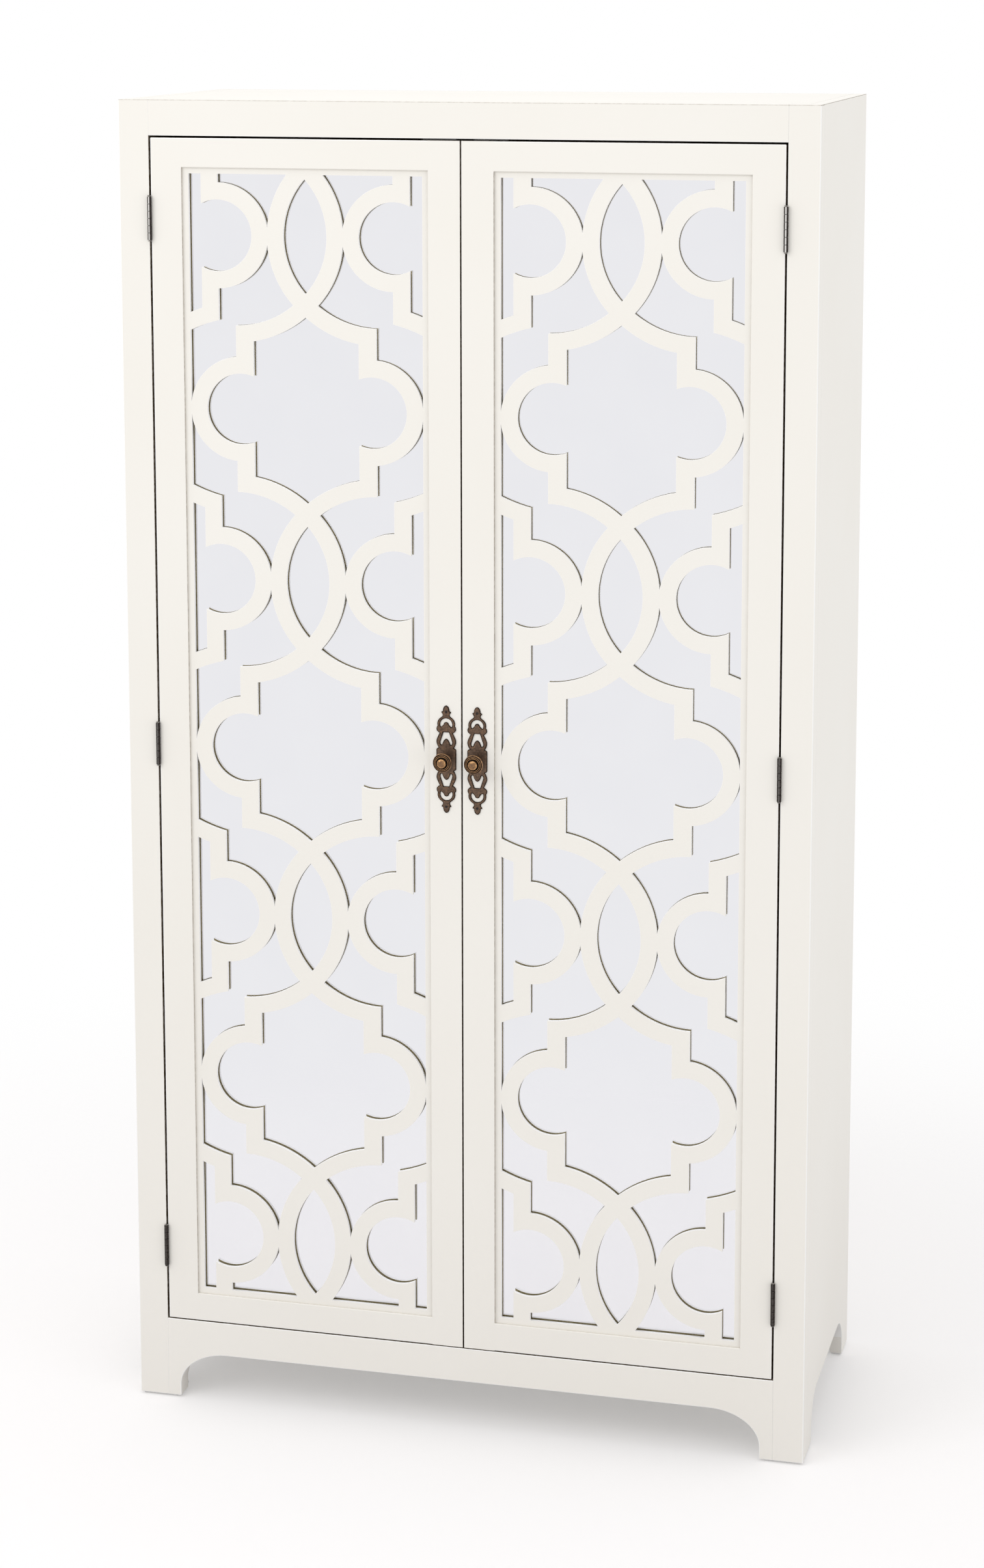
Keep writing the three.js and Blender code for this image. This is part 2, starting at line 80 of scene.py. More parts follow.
# %% Name the landmarks
MM = 0.001
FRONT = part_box("left_face_stile")[0].y
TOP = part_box("top_rail")[1].z
FORWARDS, BACKWARDS, UPWARDS, DOWNWARDS = (0, -1, 0), (0, 1, 0), (0, 0, 1), (0, 0, -1)
UPRIGHT = Matrix.Rotation(math.radians(90), 4, "X")


def middle(node):
    """The centre of a part's box."""
    low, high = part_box(node)
    return (low + high) / 2


def new_piece(name, data):
    """An object for a mesh, curve, camera or light, linked into the scene."""
    piece = bpy.data.objects.new(name, data)
    bpy.context.collection.objects.link(piece)
    return piece


def mesh_of(form, name):
    """The plain mesh of a form that was drawn face by face. The form is freed."""
    mesh = bpy.data.meshes.new(name)
    form.to_mesh(mesh)
    form.free()
    return mesh


print("front face at y =", round(FRONT, 4), "top at z =", round(TOP, 4))

# %% [markdown]
# ## Camera
# A tall piece of furniture looks right through a long lens above waist height, a little to one
# side. Part of the downward view comes from shifting the lens instead of tilting the camera, so
# the uprights stay nearly parallel. A larger shift would straighten them fully, but it would
# cut off the other views.

# %% Stand the camera
CAMERA_PLACE = Vector((1.0874, -4.3213, 1.9856))
CAMERA_AZIMUTH, CAMERA_ELEVATION, CAMERA_ROLL = 14.216, 8.558, -0.064
FOCAL_LENGTH, SENSOR_WIDTH, SHIFT_DOWN = 74.758, 36, 0.2

camera = new_piece("camera", bpy.data.cameras.new("camera"))
camera.matrix_world = (Matrix.Translation(CAMERA_PLACE)
                       @ Matrix.Rotation(math.radians(CAMERA_AZIMUTH), 4, "Z")
                       @ Matrix.Rotation(math.radians(90 - CAMERA_ELEVATION), 4, "X")
                       @ Matrix.Rotation(math.radians(CAMERA_ROLL), 4, "Z"))
camera.data.lens = FOCAL_LENGTH
camera.data.sensor_width = SENSOR_WIDTH
camera.data.shift_y = -SHIFT_DOWN
bpy.context.scene.camera = camera
print("camera", [round(value, 3) for value in camera.location])

# %% [markdown]
# ## Helpers for nodes and colours
# Materials and Geometry Nodes are both trees of nodes. One small function adds a node, sets its
# fields, and either fills each input or links it. The nodes that every finish needs have a
# short function each. Colours are written as sRGB hex, as a paint maker gives them, and turned
# to the linear values that Blender wants.

# %% Add nodes and mix colours
def add_node(tree, kind, inputs=None, **fields):
    """Adds a node to a tree. An input given as a socket is linked, any other value is set."""
    node = tree.nodes.new(kind)
    for field, value in fields.items():
        setattr(node, field, value)
    for socket, value in (inputs or {}).items():
        if isinstance(value, bpy.types.NodeSocket):
            tree.links.new(value, node.inputs[socket])
        else:
            node.inputs[socket].default_value = value
    return node


def made(tree, kind, inputs=None, **fields):
    """Adds a node and returns its first output."""
    return add_node(tree, kind, inputs, **fields).outputs[0]


def calculated(tree, operation, first, second, **fields):
    """The result of a Math node."""
    return made(tree, "ShaderNodeMath", {0: first, 1: second}, operation=operation, **fields)


def colour(code):
    """Linear red, green, blue and alpha for an sRGB hex code."""
    channels = [int(code[i:i + 2], 16) / 255 for i in (1, 3, 5)]
    linear = [c / 12.92 if c <= 0.04045 else ((c + 0.055) / 1.055) ** 2.4 for c in channels]
    return (*linear, 1.0)


# The sockets of the colour Mix node: factor, first colour, second colour, and its result.
FACTOR, FIRST, SECOND, MIXED = 0, 6, 7, 2


def blended(tree, factor, first, second):
    """A colour between two others, each of which is a hex code or a socket."""
    tones = [colour(tone) if isinstance(tone, str) else tone for tone in (first, second)]
    return add_node(tree, "ShaderNodeMix", {FACTOR: factor, FIRST: tones[0], SECOND: tones[1]},
                    data_type="RGBA").outputs[MIXED]


def noise(tree, place, grain, detail):
    """Noise with grains of a real size, in metres."""
    return made(tree, "ShaderNodeTexNoise", {"Vector": place, "Scale": 1 / grain, "Detail": detail})


def ranged(tree, value, start, end, low=0.0, high=1.0, **fields):
    """Maps the range from start to end onto the range from low to high."""
    return made(tree, "ShaderNodeMapRange", {
        "Value": value, "From Min": start, "From Max": end, "To Min": low, "To Max": high}, **fields)


def share(tree, name):
    """A share from 0 to 1 that the mesh carries as an attribute."""
    return add_node(tree, "ShaderNodeAttribute", attribute_name=name).outputs["Fac"]


def roughen(tree, shader, height, strength, depth):
    """Gives a shader a bump from a height."""
    bump = made(tree, "ShaderNodeBump", {"Height": height, "Strength": strength, "Distance": depth})
    tree.links.new(bump, shader.inputs["Normal"])


def start_material(name, constants):
    """A new material with a Principled shader. Constants go on the shader's own sockets."""
    material = bpy.data.materials.new(name)
    material.use_nodes = True
    tree = material.node_tree
    tree.nodes.clear()
    shader = add_node(tree, "ShaderNodeBsdfPrincipled", constants)
    add_node(tree, "ShaderNodeOutputMaterial", {"Surface": shader.outputs[0]})
    place = add_node(tree, "ShaderNodeTexCoord").outputs["Object"]
    return material, tree, shader, place


print("white paper in linear light", [round(value, 3) for value in colour("#fafafa")])

# %% [markdown]
# ## Studio
# The floor is a pale sheet that fades into the white surroundings, so no horizon shows behind the
# cabinet. A share of its brightness is its own, as on a lit table, which keeps the shadow under
# the apron a soft grey. That glow is only for eyes and mirrors: if it also lit the boards, the
# bottom of the cabinet would come out brighter than the top. White surroundings do most of the
# lighting. Two large soft lights, high on the left and overhead, give it a direction, and a small
# one low on the right reaches the cut edges and the insides of the feet.

# %% Lay the floor
FLOOR_RADIUS = 6.0
FLOOR_SOLID, FLOOR_GONE = 0.6, 2.2
FLOOR_GLOW = 0.31


def seen_directly(tree):
    """1 for what is looked at or mirrored, and 0 for what only casts light."""
    ray = add_node(tree, "ShaderNodeLightPath").outputs
    return calculated(tree, "MAXIMUM", ray["Is Camera Ray"], ray["Is Glossy Ray"])


form = bmesh.new()
bmesh.ops.create_circle(form, cap_ends=True, radius=FLOOR_RADIUS, segments=64)
floor = new_piece("studio_floor", mesh_of(form, "studio_floor"))

sheet, tree, shader, place = start_material("matt_white_studio_sheet", {
    "Base Color": colour("#d9d7d8"), "Roughness": 0.9, "Specular IOR Level": 0.0,
    "Emission Color": colour("#fcfcfa")})
glow = calculated(tree, "MULTIPLY", seen_directly(tree), FLOOR_GLOW)
tree.links.new(glow, shader.inputs["Emission Strength"])
distance = add_node(tree, "ShaderNodeVectorMath", {0: place}, operation="LENGTH").outputs["Value"]
fade = ranged(tree, distance, FLOOR_SOLID, FLOOR_GONE, 1.0, 0.0, interpolation_type="SMOOTHERSTEP")
tree.links.new(fade, shader.inputs["Alpha"])
floor.data.materials.append(sheet)
print("floor", FLOOR_RADIUS * 2, "m across")

# %% Hang the lights
def soft_light(name, place, target, size, power):
    """A large square softbox aimed at a point."""
    data = bpy.data.lights.new(name, "AREA")
    data.shape = "RECTANGLE"
    data.size, data.size_y = size
    data.energy = power
    light = new_piece(name, data)
    light.location = place
    light.rotation_euler = (Vector(target) - Vector(place)).to_track_quat("-Z", "Y").to_euler()


HALFWAY_UP = Vector((0, FRONT, TOP / 2))
soft_light("high_left_softbox", (-2.4, -3.2, 3.6), HALFWAY_UP, (2.6, 2.0), 39)
soft_light("overhead_softbox", (0.0, -0.6, 4.2), (0, FRONT, 0), (2.6, 2.2), 13)
soft_light("low_right_softbox", (3.0, -1.9, 0.9), (0, FRONT, 0.4), (1.6, 1.0), 5)

surroundings = bpy.data.worlds.new("white_studio")
surroundings.use_nodes = True
bpy.context.scene.world = surroundings
tree = surroundings.node_tree
tree.nodes.clear()
SEEN_WHITE, LIGHT_WHITE = 1.0, 0.86
strength = ranged(tree, seen_directly(tree), 0.0, 1.0, LIGHT_WHITE, SEEN_WHITE)
backdrop = made(tree, "ShaderNodeBackground", {"Color": colour("#ffffff"), "Strength": strength})
add_node(tree, "ShaderNodeOutputWorld", {"Surface": backdrop})
bpy.context.scene.view_settings.view_transform = "Standard"
print("lights", [light.name for light in bpy.data.lights])

# %% [markdown]
# ## Finish: satin cream lacquer
# The boards are MDF sprayed with a cream lacquer and rubbed back to a satin. Sprayed lacquer has
# a fine orange peel, a millimetre or two from bump to bump, and its tone drifts a little from
# board to board. A thin umber glaze was wiped on and off, so it stays on the top edges of the
# case. The same umber darkens the faces in the door gaps as painted shade, and the step down to
# the fretwork as glaze and painted shade. The rounded arrises and the routed walls are painted
# lighter, as a painted highlight. Two attributes on the meshes say where each goes.

# %% Mix the lacquer
ORANGE_PEEL, UMBER_PATCH, TONE_DRIFT = 1.8 * MM, 5 * MM, 260 * MM


def satin_cream_lacquer():
    material, tree, shader, place = start_material("satin_cream_lacquer_on_mdf", {
        "Roughness": 0.42, "Specular IOR Level": 0.42})
    cream = blended(tree, noise(tree, place, TONE_DRIFT, 3.0), "#f6f3ed", "#f2eee6")
    # Painted highlight: the rounded arrises and routed walls are mixed towards white.
    arris_highlighted = blended(tree, share(tree, "arris"), cream, "#fdfcfa")
    patchy = ranged(tree, noise(tree, place, UMBER_PATCH, 4.0), 0.35, 0.6, 0.55, 1.0)
    amount = calculated(tree, "MULTIPLY", share(tree, "glaze"), patchy)
    # The umber is glaze on the top edges of the case, and painted shade in the door gaps and on the step.
    glazed_and_shaded = blended(tree, amount, arris_highlighted, "#6b5836")
    tree.links.new(glazed_and_shaded, shader.inputs["Base Color"])
    roughen(tree, shader, noise(tree, place, ORANGE_PEEL, 1.0), 0.3, 0.05 * MM)
    return material


lacquer = satin_cream_lacquer()
print("made", lacquer.name)

# %% [markdown]
# ## Finish: silvered mirror glass
# A mirror is float glass silvered on the back. It reflects a little less than it receives, with
# a cool cast from the glass, and float glass is flat enough to give a clear image. A metal
# shader with almost no roughness does this, and a wide faint noise clouds the silver a little.

# %% Silver the glass
CLOUD = 90 * MM


def silvered_glass():
    material, tree, shader, place = start_material("silvered_float_glass", {
        "Metallic": 1.0, "Roughness": 0.03})
    silver = blended(tree, noise(tree, place, CLOUD, 5.0), "#ececef", "#e8e8ec")
    tree.links.new(silver, shader.inputs["Base Color"])
    return material


mirror_glass = silvered_glass()
print("made", mirror_glass.name)

# %% [markdown]
# ## Finish: antique brass
# Cast brass is dipped in a brown-black patina and then buffed, so raised places shine gold and
# hollows stay dark. The attribute rub says how far the buffing wheel reached, and a fine noise
# makes the cast surface uneven.

# %% Patinate the brass
CAST_GRAIN = 2.5 * MM


def antique_brass():
    material, tree, shader, place = start_material("antique_brass_casting", {"Metallic": 1.0})
    grain = noise(tree, place, CAST_GRAIN, 6.0)
    uneven = ranged(tree, grain, 0.3, 0.7, -0.16, 0.16)
    reach = calculated(tree, "ADD", share(tree, "rub"), uneven, use_clamp=True)
    tones = add_node(tree, "ShaderNodeValToRGB", {"Fac": reach})
    steps = tones.color_ramp.elements
    steps[0].color = colour("#2a211b")
    steps[1].color = colour("#dcae7c")
    steps.new(0.42).color = colour("#6c594c")
    steps.new(0.7).color = colour("#94704f")
    tree.links.new(tones.outputs["Color"], shader.inputs["Base Color"])
    tree.links.new(ranged(tree, reach, 0.0, 1.0, 0.6, 0.24), shader.inputs["Roughness"])
    roughen(tree, shader, grain, 0.5, 0.08 * MM)
    return material


brass = antique_brass()
print("made", brass.name)

# %% [markdown]
# ## Finishes for steel, nylon and board
# The hinges are mild steel with a chemical black finish, with a painted highlight stripe along the front
# of each barrel.
# Screws, strikes and staples are zinc plated. Glides and catches are moulded nylon. Behind the
# mirrors lies hardboard, pressed brown fibre, and the back of the fretwork is MDF that the
# spray gun only misted, so the brown shows through. They share one recipe: two tones mixed by
# noise at the size of the grain, and a bump from it.

# %% Mix the plain finishes
def grained(name, dark, light, grain, depth, painted_sheen=None, **constants):
    """A surface of two tones and a bump, both from noise at the real size of its grain.

    Where a piece carries a share of sheen, the tone is mixed towards a brighter colour, a painted
    highlight."""
    sockets = {key.replace("_", " "): value for key, value in constants.items()}
    material, tree, shader, place = start_material(name, sockets)
    height = noise(tree, place, grain, 6.0)
    tone = blended(tree, ranged(tree, height, 0.35, 0.65), dark, light)
    if painted_sheen:
        tone = blended(tree, share(tree, "rub"), tone, painted_sheen)
    tree.links.new(tone, shader.inputs["Base Color"])
    roughen(tree, shader, height, 0.6, depth)
    return material


# The bright colour mixed in by the attribute is a painted highlight stripe on the hinge barrels.
blackened_steel = grained("blackened_mild_steel", "#221e1c", "#453f3c", 1.6 * MM, 0.02 * MM,
                          painted_sheen="#e4e1dd", Metallic=1.0, Roughness=0.34)
pin_steel = grained("worn_steel_pin", "#5d5956", "#a39f9a", 1.2 * MM, 0.02 * MM,
                    Metallic=1.0, Roughness=0.3)
zinc_steel = grained("zinc_plated_steel", "#8f9296", "#c3c6c8", 2.0 * MM, 0.02 * MM,
                     Metallic=1.0, Roughness=0.34)
nylon = grained("moulded_white_nylon", "#ececea", "#f6f6f4", 3.0 * MM, 0.02 * MM, Roughness=0.5)
hardboard = grained("pressed_hardboard", "#6f5338", "#9c7b55", 1.1 * MM, 0.15 * MM, Roughness=0.8)
misted_mdf = grained("thinly_misted_mdf", "#b5a87c", "#cfc29a", 1.5 * MM, 0.08 * MM, Roughness=0.9)
print("materials", len(bpy.data.materials))

# %% [markdown]
# ## Making plain meshes
# A piece may be built with modifiers, curves or nodes, but it is handed over as one plain mesh
# whose object sits at the origin. These helpers do that, and put each piece on its body with
# the finish it is given.

# %% Helpers that finish a piece
def settle(piece):
    """Replaces an object by the plain mesh that its curve, modifiers and nodes evaluate to."""
    graph = bpy.context.evaluated_depsgraph_get()
    mesh = bpy.data.meshes.new_from_object(
        piece.evaluated_get(graph), preserve_all_data_layers=True, depsgraph=graph)
    name, source = piece.name, piece.data
    bpy.data.objects.remove(piece)
    if source.users == 0 and isinstance(source, bpy.types.Mesh):
        bpy.data.meshes.remove(source)
    mesh.name = name
    return new_piece(name, mesh)


def hand_over(piece, body, slot, *replaced, finish=None):
    """The piece moves with a body, takes the finish it is given and stands for CAD nodes. The slot is not
    used.
    """
    if finish:
        piece.data.materials.clear()
        piece.data.materials.append(finish)
    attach(piece, body)
    if replaced:
        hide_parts(*replaced)


def body_of(node):
    """The body that a CAD node belongs to."""
    return nodes[node]["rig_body"]


def smooth_by_angle(mesh, degrees=35):
    """Smooth shading, except across edges sharper than the angle."""
    mesh.polygons.foreach_set("use_smooth", [True] * len(mesh.polygons))
    mesh.set_sharp_from_angle(angle=math.radians(degrees))


print("helpers ready")

# %% [markdown]
# ## Painted boards
# Each board is sanded before it is sprayed, so its arrises are rounded by about a millimetre.
# Where two boards are glued together they stay crisp: a hairline shows in the case, and hardly
# anything in the doors, whose joints are filled. So a board is copied from the frame, cut where
# a neighbour ends, and bevelled with a weight on each edge.

# %% Round the arrises of a board
SANDED, GLUED, FILLED = 1.2 * MM, 0.06 * MM, 0
DOOR_DRAWN_UP, CASE_DRAWN_UP = 0.29 * MM, 0.2 * MM
TOUCHING, WELD = 0.6 * MM, 0.01 * MM
FLAT, SHARP = math.radians(0.5), math.radians(25)
SQUARE = 0.97   # The share of a face's normal that lies along an axis, above which it is square.
PAINTED = [name for name in nodes
           if name.endswith(("_panel", "_stile", "_rail", "_shelf", "_apron"))]


def neighbours(node):
    """The boxes of the painted boards that this board touches."""
    low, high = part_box(node)
    found = []
    for other in PAINTED:
        if other == node or body_of(other) != body_of(node):
            continue
        other_low, other_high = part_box(other)
        if all(other_low[i] - TOUCHING < high[i] and low[i] < other_high[i] + TOUCHING
               for i in range(3)):
            found.append((other_low, other_high))
    return found


def near_box(point, box):
    """Whether a point lies in a box or almost touches it."""
    return all(box[0][i] - TOUCHING < point[i] < box[1][i] + TOUCHING for i in range(3))


def whole_faces(mesh, **limits):
    """The form of a mesh with its loose triangles joined into whole faces."""
    form = bmesh.new()
    form.from_mesh(mesh)
    bmesh.ops.remove_doubles(form, verts=form.verts, dist=WELD)
    bmesh.ops.dissolve_limit(form, angle_limit=FLAT, verts=form.verts, edges=form.edges, **limits)
    return form


def cut_at(form, axis, place):
    """Cuts the faces along a plane square to one axis."""
    normal = Vector((0, 0, 0))
    normal[axis] = 1
    everything = form.verts[:] + form.edges[:] + form.faces[:]
    bmesh.ops.bisect_plane(form, geom=everything, plane_co=normal * place, plane_no=normal, dist=WELD)


def close_joints(form, node, by):
    """Frames are clamped when they are glued, so their rails are drawn up to the stiles."""
    low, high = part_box(node)
    for vertex in form.verts:
        for end, way in ((low.x, -1), (high.x, 1)):
            if abs(vertex.co.x - end) < 2 * WELD:
                vertex.co.x += way * by


def round_arrises(piece, boxes, sanded=SANDED, segments=3, glued=GLUED):
    """Bevels the sharp edges of a mesh, and hardly at all where it is glued to a neighbour."""
    form = bmesh.new()
    form.from_mesh(piece.data)
    weight = form.edges.layers.float.new("bevel_weight_edge")
    for edge in form.edges:
        if edge.calc_face_angle(0) > SHARP:
            centre = (edge.verts[0].co + edge.verts[1].co) / 2
            edge[weight] = glued / sanded if any(near_box(centre, box) for box in boxes) else 1.0
            edge.smooth = edge[weight] > 0
    form.to_mesh(piece.data)
    form.free()
    bevel = piece.modifiers.new("sanding", "BEVEL")
    bevel.limit_method = "WEIGHT"
    bevel.width = sanded
    bevel.segments = segments
    bevel.harden_normals = True
    piece.data.polygons.foreach_set("use_smooth", [True] * len(piece.data.polygons))
    return settle(piece)


def keep_flats_flat(mesh):
    """Square faces shade as flat ones, even where a rounded edge ends in a crisp one."""
    normals = [corner.vector.copy() for corner in mesh.corner_normals]
    for face in mesh.polygons:
        if max(abs(part) for part in face.normal) > 0.9999:
            for corner in face.loop_indices:
                normals[corner] = face.normal.copy()
    mesh.normals_split_custom_set(normals)


print("painted boards", len(PAINTED))

# %% [markdown]
# The umber is worked out from where a face lies. Faces inside the gap round a door take the
# most, as painted shade, then the step down to the fretwork, as glaze and painted shade, then
# the rounded edge along the top of the case, as glaze. The other rounded arrises are painted
# lighter, as a painted highlight.

# %% Mark the glaze, the painted shade and the painted highlights
GAP_REACH, FRAME_DEPTH = 4.5 * MM, 26 * MM
OPENING_REACH, STEP_DEPTH = 1.5 * MM, 4 * MM
# The umber in the door gaps is painted shade; on the step it is glaze and painted shade.
GAP_PAINTED_SHADE = 0.95
STEP_GLAZE_AND_SHADE = {"upright": 0.75, "level": 0.2}
TOP_GLAZE = {"side": 0.8, "front": 0.35}
door_boxes = {}
opening_boxes = {}
for hand in HANDS:
    low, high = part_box(f"{hand}_door_hinge_stile")
    other_low, other_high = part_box(f"{hand}_door_meeting_stile")
    door_boxes[hand] = (Vector(map(min, low, other_low)), Vector(map(max, high, other_high)))
    edges = sorted([low.x, high.x, other_low.x, other_high.x])
    opening_boxes[hand] = (
        Vector((edges[1], FRONT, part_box(f"{hand}_door_bottom_rail")[1].z)),
        Vector((edges[2], FRONT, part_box(f"{hand}_door_top_rail")[0].z)))


def distance_to_outline(point, box):
    """How far a point is from the outline of a box, as seen from the front."""
    across = min(abs(point.x - box[0].x), abs(point.x - box[1].x))
    upwards = min(abs(point.z - box[0].z), abs(point.z - box[1].z))
    in_x = box[0].x - GAP_REACH < point.x < box[1].x + GAP_REACH
    in_z = box[0].z - GAP_REACH < point.z < box[1].z + GAP_REACH
    return min(across if in_z else 1.0, upwards if in_x else 1.0)


def mark_glaze_and_shade(mesh):
    """Gives each face a share of umber, which is glaze on the top edges and painted shade in the gaps,
    and a share of painted highlight.
    """
    glaze = mesh.attributes.new("glaze", "FLOAT", "FACE")
    arris = mesh.attributes.new("arris", "FLOAT", "FACE")
    for face in mesh.polygons:
        centre, normal = face.center, face.normal
        by_gap = centre.y < FRONT + FRAME_DEPTH and min(
            distance_to_outline(centre, box) for box in door_boxes.values()) < GAP_REACH
        by_opening = OPENING_REACH > min(
            distance_to_outline(centre, box) for box in opening_boxes.values())
        sideways = abs(normal.y) < 0.5
        left = 0.0
        # Faces in a door gap take umber as painted shade, and the step takes it as glaze and painted
        # shade.
        if by_gap and sideways:
            left = GAP_PAINTED_SHADE
        elif by_opening and sideways and centre.y < FRONT + STEP_DEPTH:
            left = STEP_GLAZE_AND_SHADE["upright" if abs(normal.x) > 0.7 else "level"]
        elif centre.z > TOP - SANDED and 0.1 < normal.z < SQUARE:
            left = TOP_GLAZE["side" if abs(normal.x) > 0.3 else "front"]
        glaze.data[face.index].value = left
        # The rounded arrises without umber get a painted highlight.
        arris.data[face.index].value = 0.1 < abs(normal.y) < SQUARE and not by_opening and not left


for node in PAINTED:
    form = whole_faces(nodes[node].data)
    boxes = neighbours(node)
    for box in boxes:
        for corner in box:
            for axis in (0, 2):
                cut_at(form, axis, corner[axis])
    in_door = "_door_" in node
    if node.endswith(("_rail", "_apron")):
        close_joints(form, node, DOOR_DRAWN_UP if in_door else CASE_DRAWN_UP)
    name = f"{node}_painted"
    board = new_piece(name, mesh_of(form, name))
    piece = round_arrises(board, boxes, glued=FILLED if in_door else GLUED)
    keep_flats_flat(piece.data)
    mark_glaze_and_shade(piece.data)
    hand_over(piece, body_of(node), "cream_paint", node, finish=lacquer)
print("painted", len(PAINTED), "boards")

# %% [markdown]
# ## Fretwork panels
# Each panel is one sheet, cut by router. Its pattern follows a rule: quatrefoils stacked at one
# pitch, pointed lenses between them, and the side lobes of half-hidden quatrefoils at the edges.
# So only one repeat is drawn, as wires made of arcs. A node tree stacks the repeats, fills them,
# gives them depth, trims them to the frame and cuts them out of the sheet.

# %% Draw one repeat of the fretwork
BAND, PITCH = 23, 466.8
FRET_FRAME = (162, 782.5)
LENS = {"offset": 82.5, "radius": 112.5}
OGEE = (98.5, 243, 130)
LOBE = (91.5, 0, 48)
SIDE_LOBE = (122.5, PITCH / 2, 48)
FOOT, FOOT_BAND = (77, -75.5, 200), 22
POST, SIDE_POST = (73.5, 98), (121.5, 145)
ARC_STEP = math.radians(3)


def grown(circle, by):
    """A circle (x, z, radius) with a larger radius."""
    return circle[0], circle[1], circle[2] + by


def height_on(circle, x, way):
    """Height above (+1) or below (-1) on a circle, at a given x."""
    return circle[1] + way * math.sqrt(circle[2] ** 2 - (x - circle[0]) ** 2)


def lower_crossing(a, b):
    """The lower of the two points where two circles cross."""
    gap = Vector((b[0] - a[0], b[1] - a[1]))
    along = (gap.length_squared + a[2] ** 2 - b[2] ** 2) / (2 * gap.length)
    aside = math.sqrt(a[2] ** 2 - along ** 2)
    unit = gap.normalized()
    square = Vector((unit.y, -unit.x))
    ends = [Vector(a[:2]) + along * unit + way * aside * square for way in (1, -1)]
    return min(ends, key=lambda end: end.y)


def arc(circle, start, end):
    """Points along the shorter way round a circle from start to end, without the end."""
    first = math.atan2(start[1] - circle[1], start[0] - circle[0])
    turn = math.atan2(end[1] - circle[1], end[0] - circle[0]) - first
    turn -= 2 * math.pi * round(turn / (2 * math.pi))
    steps = max(3, math.ceil(abs(turn) / ARC_STEP))
    angles = [first + turn * i / steps for i in range(steps)]
    return [(circle[0] + circle[2] * math.cos(angle), circle[1] + circle[2] * math.sin(angle))
            for angle in angles]


def flip(points, by_x, by_z, shift=0):
    """A mirrored and raised copy of an outline."""
    return [(by_x * x, by_z * z + shift) for x, z in points]


def lens_outline():
    """A pointed lens between two arcs."""
    tip = math.sqrt(LENS["radius"] ** 2 - LENS["offset"] ** 2)
    right = arc((-LENS["offset"], 0, LENS["radius"]), (0, -tip), (0, tip))
    return right + flip(right, -1, -1)


def quatrefoil_outline():
    """Ogee points above and below, a round lobe at each side, short posts between them."""
    upper = grown(OGEE, BAND)
    tip = (0, height_on(upper, 0, -1))
    step = (POST[0], height_on(upper, POST[0], -1))
    lobe_top = (POST[0], height_on(LOBE, POST[0], 1))
    quarter = arc(LOBE, (LOBE[0] + LOBE[2], 0), lobe_top) + [lobe_top] + arc(upper, step, tip) + [tip]
    right = flip(quarter, 1, -1)[::-1] + quarter[1:]
    return right + flip(right[1:-1], -1, -1)


def corner_outline():
    """The space outside a quatrefoil in one quarter of a repeat."""
    lens = (-LENS["offset"], PITCH / 2, LENS["radius"] + BAND)
    side, lobe = grown(SIDE_LOBE, BAND), grown(LOBE, BAND)
    top, left = lower_crossing(lens, side), lower_crossing(lens, OGEE)
    step = (POST[1], height_on(OGEE, POST[1], -1))
    lobe_start = (POST[1], height_on(lobe, POST[1], 1))
    lobe_end = (FRET_FRAME[0], height_on(lobe, FRET_FRAME[0], 1))
    foot_edge = (FRET_FRAME[0], height_on(FOOT, FRET_FRAME[0], 1))
    foot_post = (SIDE_POST[0], height_on(FOOT, SIDE_POST[0], 1))
    side_start = (SIDE_POST[0], height_on(side, SIDE_POST[0], -1))
    return (arc(lens, top, left) + arc(OGEE, left, step) + [step] + arc(lobe, lobe_start, lobe_end)
            + [lobe_end] + arc(FOOT, foot_edge, foot_post) + [foot_post] + arc(side, side_start, top))


def side_outline():
    """The space inside a half-hidden quatrefoil at the edge, about the height of a lens."""
    foot = grown(FOOT, FOOT_BAND)
    edge = (FRET_FRAME[0], height_on(foot, FRET_FRAME[0], 1))
    post = (SIDE_POST[1], height_on(foot, SIDE_POST[1], 1))
    lobe_start = (SIDE_POST[1], height_on(SIDE_LOBE, SIDE_POST[1], -1))
    lobe_end = (SIDE_LOBE[0] - SIDE_LOBE[2], SIDE_LOBE[1])
    lower = arc(foot, edge, post) + [post] + arc(SIDE_LOBE, lobe_start, lobe_end) + [lobe_end]
    about_lens = flip(lower, 1, 1, -SIDE_LOBE[1])
    return about_lens + flip(about_lens[:-1], 1, -1)[::-1]


def one_repeat():
    """Every outline of one repeat, about the middle of its lens."""
    outlines = [lens_outline(), flip(quatrefoil_outline(), 1, 1, PITCH / 2)]
    for side in (-1, 1):
        outlines.append(flip(side_outline(), side, 1))
        outlines.append(flip(corner_outline(), side, 1, -PITCH / 2))
        outlines.append(flip(corner_outline(), side, -1, PITCH / 2))
    return outlines


def wires(name, outlines):
    """A mesh of closed loops of edges, flat on x and y, from outlines in millimetres."""
    points = []
    edges = []
    for outline in outlines:
        start, count = len(points), len(outline)
        points += [(x * MM, z * MM, 0) for x, z in outline]
        edges += [(start + i, start + (i + 1) % count) for i in range(count)]
    mesh = bpy.data.meshes.new(name)
    mesh.from_pydata(points, edges, [])
    return mesh


print("one repeat has", len(one_repeat()), "openings")

# %% [markdown]
# A node tree has inputs of its own, as a drawing has dimensions. The tree is built once, and
# each panel runs it with its own values. A modifier knows an input by its identifier, not by its
# name, so a helper looks the identifiers up.

